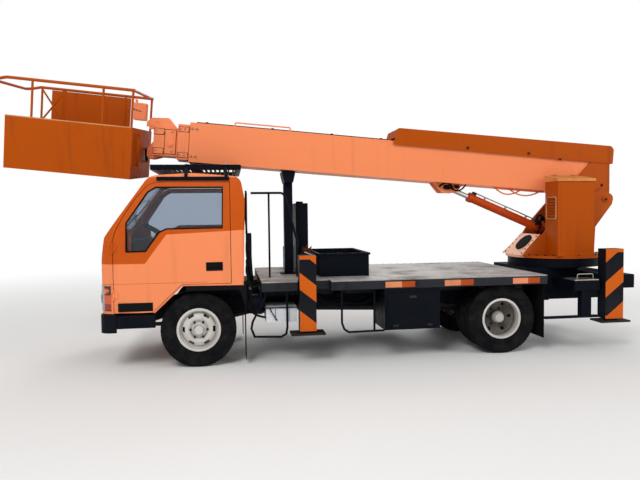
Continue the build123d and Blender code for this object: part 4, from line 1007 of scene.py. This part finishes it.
fit("mirror_right", "door_right", "plastic", 0.012, [(-0.905, -0.862, 0.866, 0.98, 1.6, 1.8)],
    [(0.009, [(-0.8, 0.84, 1.36), (-0.84, 0.875, 1.42), (-0.88, 0.92, 1.62)]),
     (0.009, [(-0.55, 0.775, 1.76), (-0.7, 0.85, 1.8), (-0.88, 0.92, 1.78)])])
fit("cab_intake_pipe", "chassis", "plastic", 0.01, [(0.506, 0.566, -0.765, -0.675, 1.2, 1.4)],
    [(0.011, [(0.514, -0.72, 1.39), (0.514, -0.72, 1.6), (0.516, -0.72, 1.83)]),
     (0.03, [(0.535, -0.72, 1.22), (0.54, -0.72, 1.05), (0.55, -0.7, 0.93), (0.56, -0.62, 0.9)])])
fit("guard_mesh", "chassis", "black", 0.0,
    [(-0.47 + 0.05 * k, -0.452 + 0.05 * k, -0.57, 0.57, 2.085, 2.11) for k in range(19)])
fit("door_gap_seals", "chassis", "rubber", 0.003, [(0.335, 0.362, *seal) for seal in (
        (-0.815, -0.79, 0.89, 1.3), (-0.795, -0.77, 1.28, 1.6), (-0.775, -0.74, 1.58, 1.95))], twin=True)
fit("front_indicators", "chassis", "lamp", 0.004, [],
    [(0.03, [(-0.9, -0.8, 0.835), (-0.93, -0.822, 0.835)])], own=AMBER, twin=True)
# A dark disc at the opening in the sloping plate: painted shade inside the hole
fit("turret_opening_shade", "turret", "rubber", 0.0, [], [(0.12, [(4.028, -0.04, 1.2), (4.014, -0.04, 1.214)])])
fit("cylinder_foot_fittings", "turret", "rubber", 0.006,
    [(4.14, 4.2, -0.16, -0.1, 1.42, 1.48), (4.2, 4.25, -0.15, -0.1, 1.47, 1.52)],
    [(0.012, [(4.15, -0.16, 1.46), (4.12, -0.17, 1.52), (4.18, -0.17, 1.56), (4.24, -0.15, 1.5)]),
     (0.012, [(4.2, -0.14, 1.43), (4.16, -0.17, 1.38), (4.14, -0.15, 1.3), (4.12, -0.1, 1.26)]),
     (0.01, [(4.24, -0.13, 1.5), (4.27, -0.15, 1.42), (4.24, -0.16, 1.36), (4.2, -0.12, 1.3)])])
fit("guard_caps", "chassis", "light_grey", 0.004,
    [(-0.122, -0.078, -0.625, -0.565, 2.134, 2.142), (0.288, 0.332, -0.625, -0.565, 2.134, 2.142)],
    twin=True)
fit("cab_rear_hoses", "chassis", "rubber", 0.006,
    [(0.5, 0.55, -0.8, -0.74, 0.84, 0.9), (0.5, 0.54, -0.78, -0.73, 1.06, 1.12)],
    [(0.014, [(0.52, -0.765, 1.09), (0.5, -0.78, 1.0), (0.53, -0.79, 0.93), (0.52, -0.77, 0.86)]),
     (0.011, [(0.515, -0.7, 1.85), (0.5, -0.73, 1.6), (0.52, -0.75, 1.4), (0.505, -0.77, 1.2),
              (0.52, -0.76, 1.1)]),
     (0.012, [(0.52, -0.78, 0.87), (0.56, -0.8, 0.82), (0.62, -0.8, 0.84), (0.66, -0.78, 0.86)]),
     (0.012, [(0.52, -0.77, 0.86), (0.5, -0.79, 0.72), (0.53, -0.8, 0.6), (0.6, -0.79, 0.52),
              (0.7, -0.78, 0.5)])])
fit("air_tank", "chassis", "black", 0.004, [(x, x + 0.03, -0.76, -0.45, 0.6, 0.8) for x in (0.53, 0.64)],
    [(0.105, [(0.508, -0.64, 0.63), (0.695, -0.64, 0.63)]),
     (0.012, [(0.6, -0.75, 0.63), (0.6, -0.78, 0.56), (0.66, -0.78, 0.54), (0.7, -0.76, 0.58)])])
fit("under_deck_pipes", "chassis", "rubber", 0.004, [(1.5, 1.62, -0.55, -0.43, 0.6, 0.7)],
    [(0.014, [(1.3, y, 0.7), (1.45, y, 0.56 + k), (1.6, y, 0.6 + k), (1.8, y, 0.57), (1.93, y, 0.66)])
     for y, k in ((-0.6, 0.02), (-0.56, 0.05), (-0.52, 0.0))]
    + [(0.01, [(1.26, -0.8, 0.6), (1.45, -0.8, 0.6)])])
fit("valve_block", "chassis", "black", 0.006, [(1.15, 1.28, -0.4, -0.22, 0.885, 1.14)],
    [(0.013, [(1.17, -0.24, 0.9), (1.12, -0.3, 0.93), (1.11, -0.36, 0.9), (1.12, -0.38, 0.886)])])
fit("valve_levers", "chassis", "steel", 0.008, [(1.165, 1.265, -0.385, -0.235, 1.14, 1.2)],
    [(0.007, [(1.19, -0.36, 1.19), (1.16, -0.37, 1.225)]),
     (0.007, [(1.24, -0.31, 1.19), (1.27, -0.31, 1.22)]),
     (0.012, [(1.215, -0.3, 1.19), (1.215, -0.3, 1.235)])], own=RUST_AND_SHADOW)
fit("valve_pipe", "chassis", "steel", 0.008, [],
    [(0.008, [(1.18, -0.39, 1.16), (1.24, -0.42, 1.14), (1.29, -0.42, 1.1), (1.29, -0.41, 0.9)])],
    own=BRIGHT)
fit("battery_frame", "chassis", "black", 0.002,
    [(0.7, 1.04, -0.832, -0.82, 0.6, 0.612), (0.8, 0.806, -0.824, -0.82, 0.47, 0.59)],
    [(0.006, [(0.74, -0.828, 0.61), (0.78, -0.84, 0.52), (0.82, -0.828, 0.47)])])
fit("propeller_shaft", "chassis", "steel", 0.004, [(0.64, 0.7, -0.06, 0.06, 0.44, 0.56)],
    [(0.042, [(0.66, 0, 0.5), (3.1, 0, 0.41)]), (0.06, [(0.68, 0, 0.499), (0.76, 0, 0.496)]),
     (0.06, [(2.98, 0, 0.414), (3.06, 0, 0.411)])])
fit("fuel_tank", "chassis", "black", 0.03,
    [(1.36, 1.86, 0.43, 0.8, 0.4, 0.7)], [(0.03, [(1.5, 0.76, 0.69), (1.5, 0.79, 0.735)])])
fit("fuel_tank_straps", "chassis", "steel", 0.002,
    [(x, x + 0.03, *band) for band in ((0.426, 0.804, 0.396, 0.704), (0.36, 0.43, 0.5, 0.7))
     for x in (1.45, 1.74)], own=BRIGHT)
fit("silencer", "chassis", "steel", 0.004,
    [(x, x + 0.02, *hanger) for hanger in ((0.5, 0.54, 0.52, 0.8), (0.38, 0.54, 0.58, 0.62))
     for x in (0.88, 1.18)],
    [(0.085, [(0.8, 0.52, 0.46), (1.28, 0.52, 0.46)]),
     (0.025, [(0.25, 0.25, 0.5), (0.5, 0.4, 0.47), (0.7, 0.52, 0.46), (0.82, 0.52, 0.46)]),
     (0.025, [(1.26, 0.52, 0.46), (1.33, 0.55, 0.42), (1.34, 0.65, 0.37), (1.34, 0.82, 0.36)])])
fit("spring_clamps", "chassis", "steel", 0.003,
    [(-0.06, 0.06, -0.372, -0.288, 0.432, 0.446), (3.29, 3.41, -0.372, -0.288, 0.507, 0.521)],
    [(0.009, [(x, y, z - 0.06), (x, y, z + 0.012)])
     for x, z in ((-0.045, 0.43), (0.045, 0.43), (3.305, 0.51), (3.395, 0.51)) for y in (-0.368, -0.292)],
    twin=True)
fit("tow_hooks", "chassis", "steel", 0.002, [],
    [(0.012, [(-0.93, -0.33, 0.44), (-0.975, -0.33, 0.43), (-0.985, -0.33, 0.4), (-0.96, -0.33, 0.385),
              (-0.93, -0.33, 0.4)])], twin=True)
fit("rear_number_plate", "chassis", "light_grey", 0.002, [(4.93, 4.936, -0.22, 0.22, 0.727, 0.837)])
fit("step_box_lid", "chassis", "steel", 0.004,
    [(4.195, 4.495, -0.896, -0.66, 0.8, 0.814)], [(0.007, loop(4.25, 4.45, -0.85, 0.81, 0.872))],
    own=BRIGHT)
fit("deck_hooks", "chassis", "black", 0.002, [],
    [(0.006, [(x, -0.9, 0.79), (x, -0.9, 0.765), (x + 0.03, -0.9, 0.76), (x + 0.06, -0.9, 0.765),
              (x + 0.06, -0.9, 0.79)])
     for x in (1.5, 2.35, 3.05, 3.5)], twin=True)
fit("boom_top_hose", "boom", "rubber", 0.003,
    [(x, x + 0.03, -0.135, -0.065, 0.499, 0.526) for x in (-4.95, -4.2, -3.5, -2.9)],
    [(0.011, [(-5.05, -0.1, 0.512), (-2.8, -0.1, 0.512)]),
     (0.008, [(-5.0, -0.125, 0.509), (-2.8, -0.125, 0.509)])])
fit("boom_top_handle", "boom", "orange", 0.003, [], [(0.008, loop(-4.62, -3.98, -0.16, 0.498, 0.545))])
fit("boom_foot_loops", "boom", "orange", 0.004, [(-1.4, -0.74, -0.104, -0.094, 0.03, 0.056)],
    [(0.009, [(-1.38, -0.1, 0.04), (-1.3, -0.1, -0.02), (-1.15, -0.1, -0.025), (-1.05, -0.1, 0.04)]),
     (0.009, [(-1.2, -0.115, 0.04), (-1.1, -0.115, -0.025), (-0.9, -0.115, -0.02), (-0.8, -0.115, 0.04)])])
fit("rod_eye_hoses", "boom", "rubber", 0.004,
    [(-2.05, -1.98, -0.12, -0.08, -0.02, 0.03), (-1.92, -1.86, -0.12, -0.08, 0.0, 0.04)],
    [(0.012, [(-2.12, -0.13, 0.0), (-2.08, -0.15, 0.06), (-1.98, -0.15, 0.05), (-1.94, -0.13, -0.01)]),
     (0.01, [(-2.0, -0.12, 0.02), (-1.95, -0.15, -0.03), (-1.84, -0.15, -0.03), (-1.78, -0.12, 0.05)])])
fit("hood_bolts", "boom", "steel", 0.002, [],
    [(0.015, [(x, -0.222, z), (x, -0.236, z)]) for x, z in ((-1.83, 0.49), (-1.04, 0.49), (-0.62, 0.45))]
    + [(0.02, [(-0.02, -0.19, 0.177), (-0.02, -0.212, 0.177)])], own=RUST_AND_SHADOW, twin=True)
fit("ear_bolts", "turret", "steel", 0.002, [], [(0.018, [(4.884, -0.24, 1.623), (4.884, -0.262, 1.623)]),
     (0.016, [(4.984, -0.24, 1.735), (4.984, -0.3, 1.735)])], own=RUST_AND_SHADOW, twin=True)
fit("tip_pad_plates", "boom_tip", "orange", 0.003,
    [(x0, x1, -0.147 if x0 < -5.5 else -0.144, -0.137, z0, z1) for x0, x1, z0, z1 in TIP_PLATES],
    [(0.028, [(-5.33, -0.144, 0.236), (-5.33, -0.158, 0.236)]),
     (0.012, [(-5.33, -0.156, 0.236), (-5.33, -0.166, 0.236)])], twin=True)
fit("tip_plate_shadows", "boom_tip", "steel", 0.0,
    shadows(TIP_PLATES, -0.1405, -0.137), own=RUST_AND_SHADOW, twin=True)
fit("middle_plate_shadows", "boom_middle", "steel", 0.0,
    shadows(MIDDLE_PLATES, -0.179, -0.176), own=RUST_AND_SHADOW, twin=True)
fit("middle_pad_plates", "boom_middle", "orange", 0.003,
    [(x0, x1, -0.184, -0.176, z0, z1) for x0, x1, z0, z1 in MIDDLE_PLATES]
    + [(-5.2, -5.165, -0.183, -0.176, 0.17, 0.37)], twin=True)
fit("cylinder_unions", "cylinder_barrel", "steel", 0.005,
    [(-0.03, 0.03, -0.09, -0.045, 0.12, 0.19), (-0.025, 0.025, -0.085, -0.045, 1.04, 1.09)])
fit("basket_braces", "basket", "burnt_orange", 0.003, [],
    [(0.011, [(a, 0.434, 0.545), (b, 0.434, 0.91)]) for a, b in ((-0.634, -0.37), (-0.37, -0.634))]
    + [(0.013, [(x, y, 0.54), (x, y, 0.92)]) for x, y in ((-0.634, 0.434), (-0.37, 0.434))])
fit("basket_rim", "basket", "burnt_orange", 0.003, [],
    [(0.008, [(-0.64, -0.444, 0.541), (0.635, -0.444, 0.541)]),
     (0.008, [(-0.644, -0.44, 0.541), (-0.644, 0.44, 0.541)])], own=PALE_ORANGE_TRIM)
fit("basket_console", "basket", "orange", 0.01, [(0.46, 0.6, 0.3, 0.425, 0.66, 0.86)],
    [(0.006, [(0.48, y, 0.85), (0.475, y, 0.9)]) for y in (0.32, 0.36, 0.4)])
fit("basket_gate_bar", "basket", "burnt_orange", 0.004,
    [(0.628, 0.652, -0.405, -0.385, 0.1, 0.545), (0.628, 0.652, -0.125, -0.105, 0.1, 0.545)],
    [(0.009, [(0.64, -0.4, 0.74), (0.64, -0.1, 0.74)])])


def headlamps():
    """A round lens in a bright ring on each lamp panel."""
    nose = box_of("front_lamps")[0].x + 0.004
    glass = lathe([(0.001, 0.0), (0.001, 0.01), (0.05, 0.008), (0.078, 0.0)], 32)
    ring = lathe([(0.078, 0.0), (0.078, 0.008), (0.09, 0.006), (0.093, 0.0)], 32)
    places = [shift((nose, y, 0.76)) @ turned(-90, "Y") for y in (-0.66, 0.66)]
    piece("headlamp_lenses", [(glass, place) for place in places], "chassis", "lamp")
    piece("headlamp_rings", [(ring, place) for place in places], "chassis", "chrome", BRIGHT)


headlamps()


# ---- Floor, light and camera ----

FLOOR_HALF = 60
WHITE = (1, 1, 1, 1)


def floor():
    """A plain pale floor that shows white behind the object and keeps its shadow."""
    mesh = bpy.data.meshes.new("floor")
    corners = [(x * FLOOR_HALF, y * FLOOR_HALF, 0) for x, y in ((-1, -1), (1, -1), (1, 1), (-1, 1))]
    mesh.from_pydata(corners, [], [(0, 1, 2, 3)])
    ground = linked("floor", mesh)
    look = Finish("pale_floor")
    look.set(Base_Color=(0.9, 0.9, 0.89, 1), Roughness=0.9)
    away = look.add("ShaderNodeVectorMath", {"operation": "LENGTH"}, Vector=look.place)
    path = look.add("ShaderNodeLightPath").outputs
    seen = look.math("MAXIMUM", path["Is Camera Ray"], path["Is Transmission Ray"])
    seen = look.math("MAXIMUM", seen, path["Is Glossy Ray"])
    white = look.add("ShaderNodeEmission", Color=WHITE, Strength=1.0).outputs[0]
    share = look.times(seen, look.step(away.outputs["Value"], 3.5, 13.0))
    shown = look.fill("ShaderNodeMixShader", None, share, look.shader.outputs[0], white)
    look.put(look.tree.nodes["Material Output"].inputs["Surface"], shown)
    mesh.materials.append(look.material)


LIT = Vector((0, 0, 1))


def lamp(name, place, size, power):
    """A round soft lamp that faces the object."""
    light = bpy.data.lights.new(name, "AREA")
    light.shape = "DISK"
    light.size = size
    light.energy = power
    holder = linked(name, light)
    holder.location = place
    holder.rotation_euler = (LIT - Vector(place)).to_track_quat("-Z", "Y").to_euler()


def lights():
    """A white world that lights the object at half strength, and three soft lamps."""
    world = bpy.data.worlds.new("studio")
    bpy.context.scene.world = world
    world.use_nodes = True
    sky = Tree(world.node_tree)
    path = sky.add("ShaderNodeLightPath").outputs
    seen = sky.math("MAXIMUM", path["Is Camera Ray"], path["Is Transmission Ray"])
    level = sky.fill("ShaderNodeMapRange", None, seen, 0.0, 1.0, 0.5, 1.0)
    back = sky.tree.nodes["Background"].inputs
    sky.put(back["Color"], WHITE)
    sky.put(back["Strength"], level)
    lamp("key", (-5, -9, 9), 5, 620)
    lamp("fill", (8, -7, 6), 6, 240)
    lamp("rear", (3, 9, 8), 6, 360)


CAMERA_PLACE = at(0.3306, -7.0855, 1.6041)
CAMERA_TURN = turned(-8.706, "Z") @ turned(90 - 2.601, "X") @ turned(-0.66, "Z")


def camera():
    view = bpy.data.cameras.new("camera")
    view.sensor_width = 36
    view.lens = 33.42
    view.clip_end = 200
    holder = linked("camera", view)
    holder.location = CAMERA_PLACE
    holder.rotation_euler = CAMERA_TURN.to_euler()
    bpy.context.scene.camera = holder


floor()
lights()
camera()
bpy.context.scene.view_settings.view_transform = "Standard"
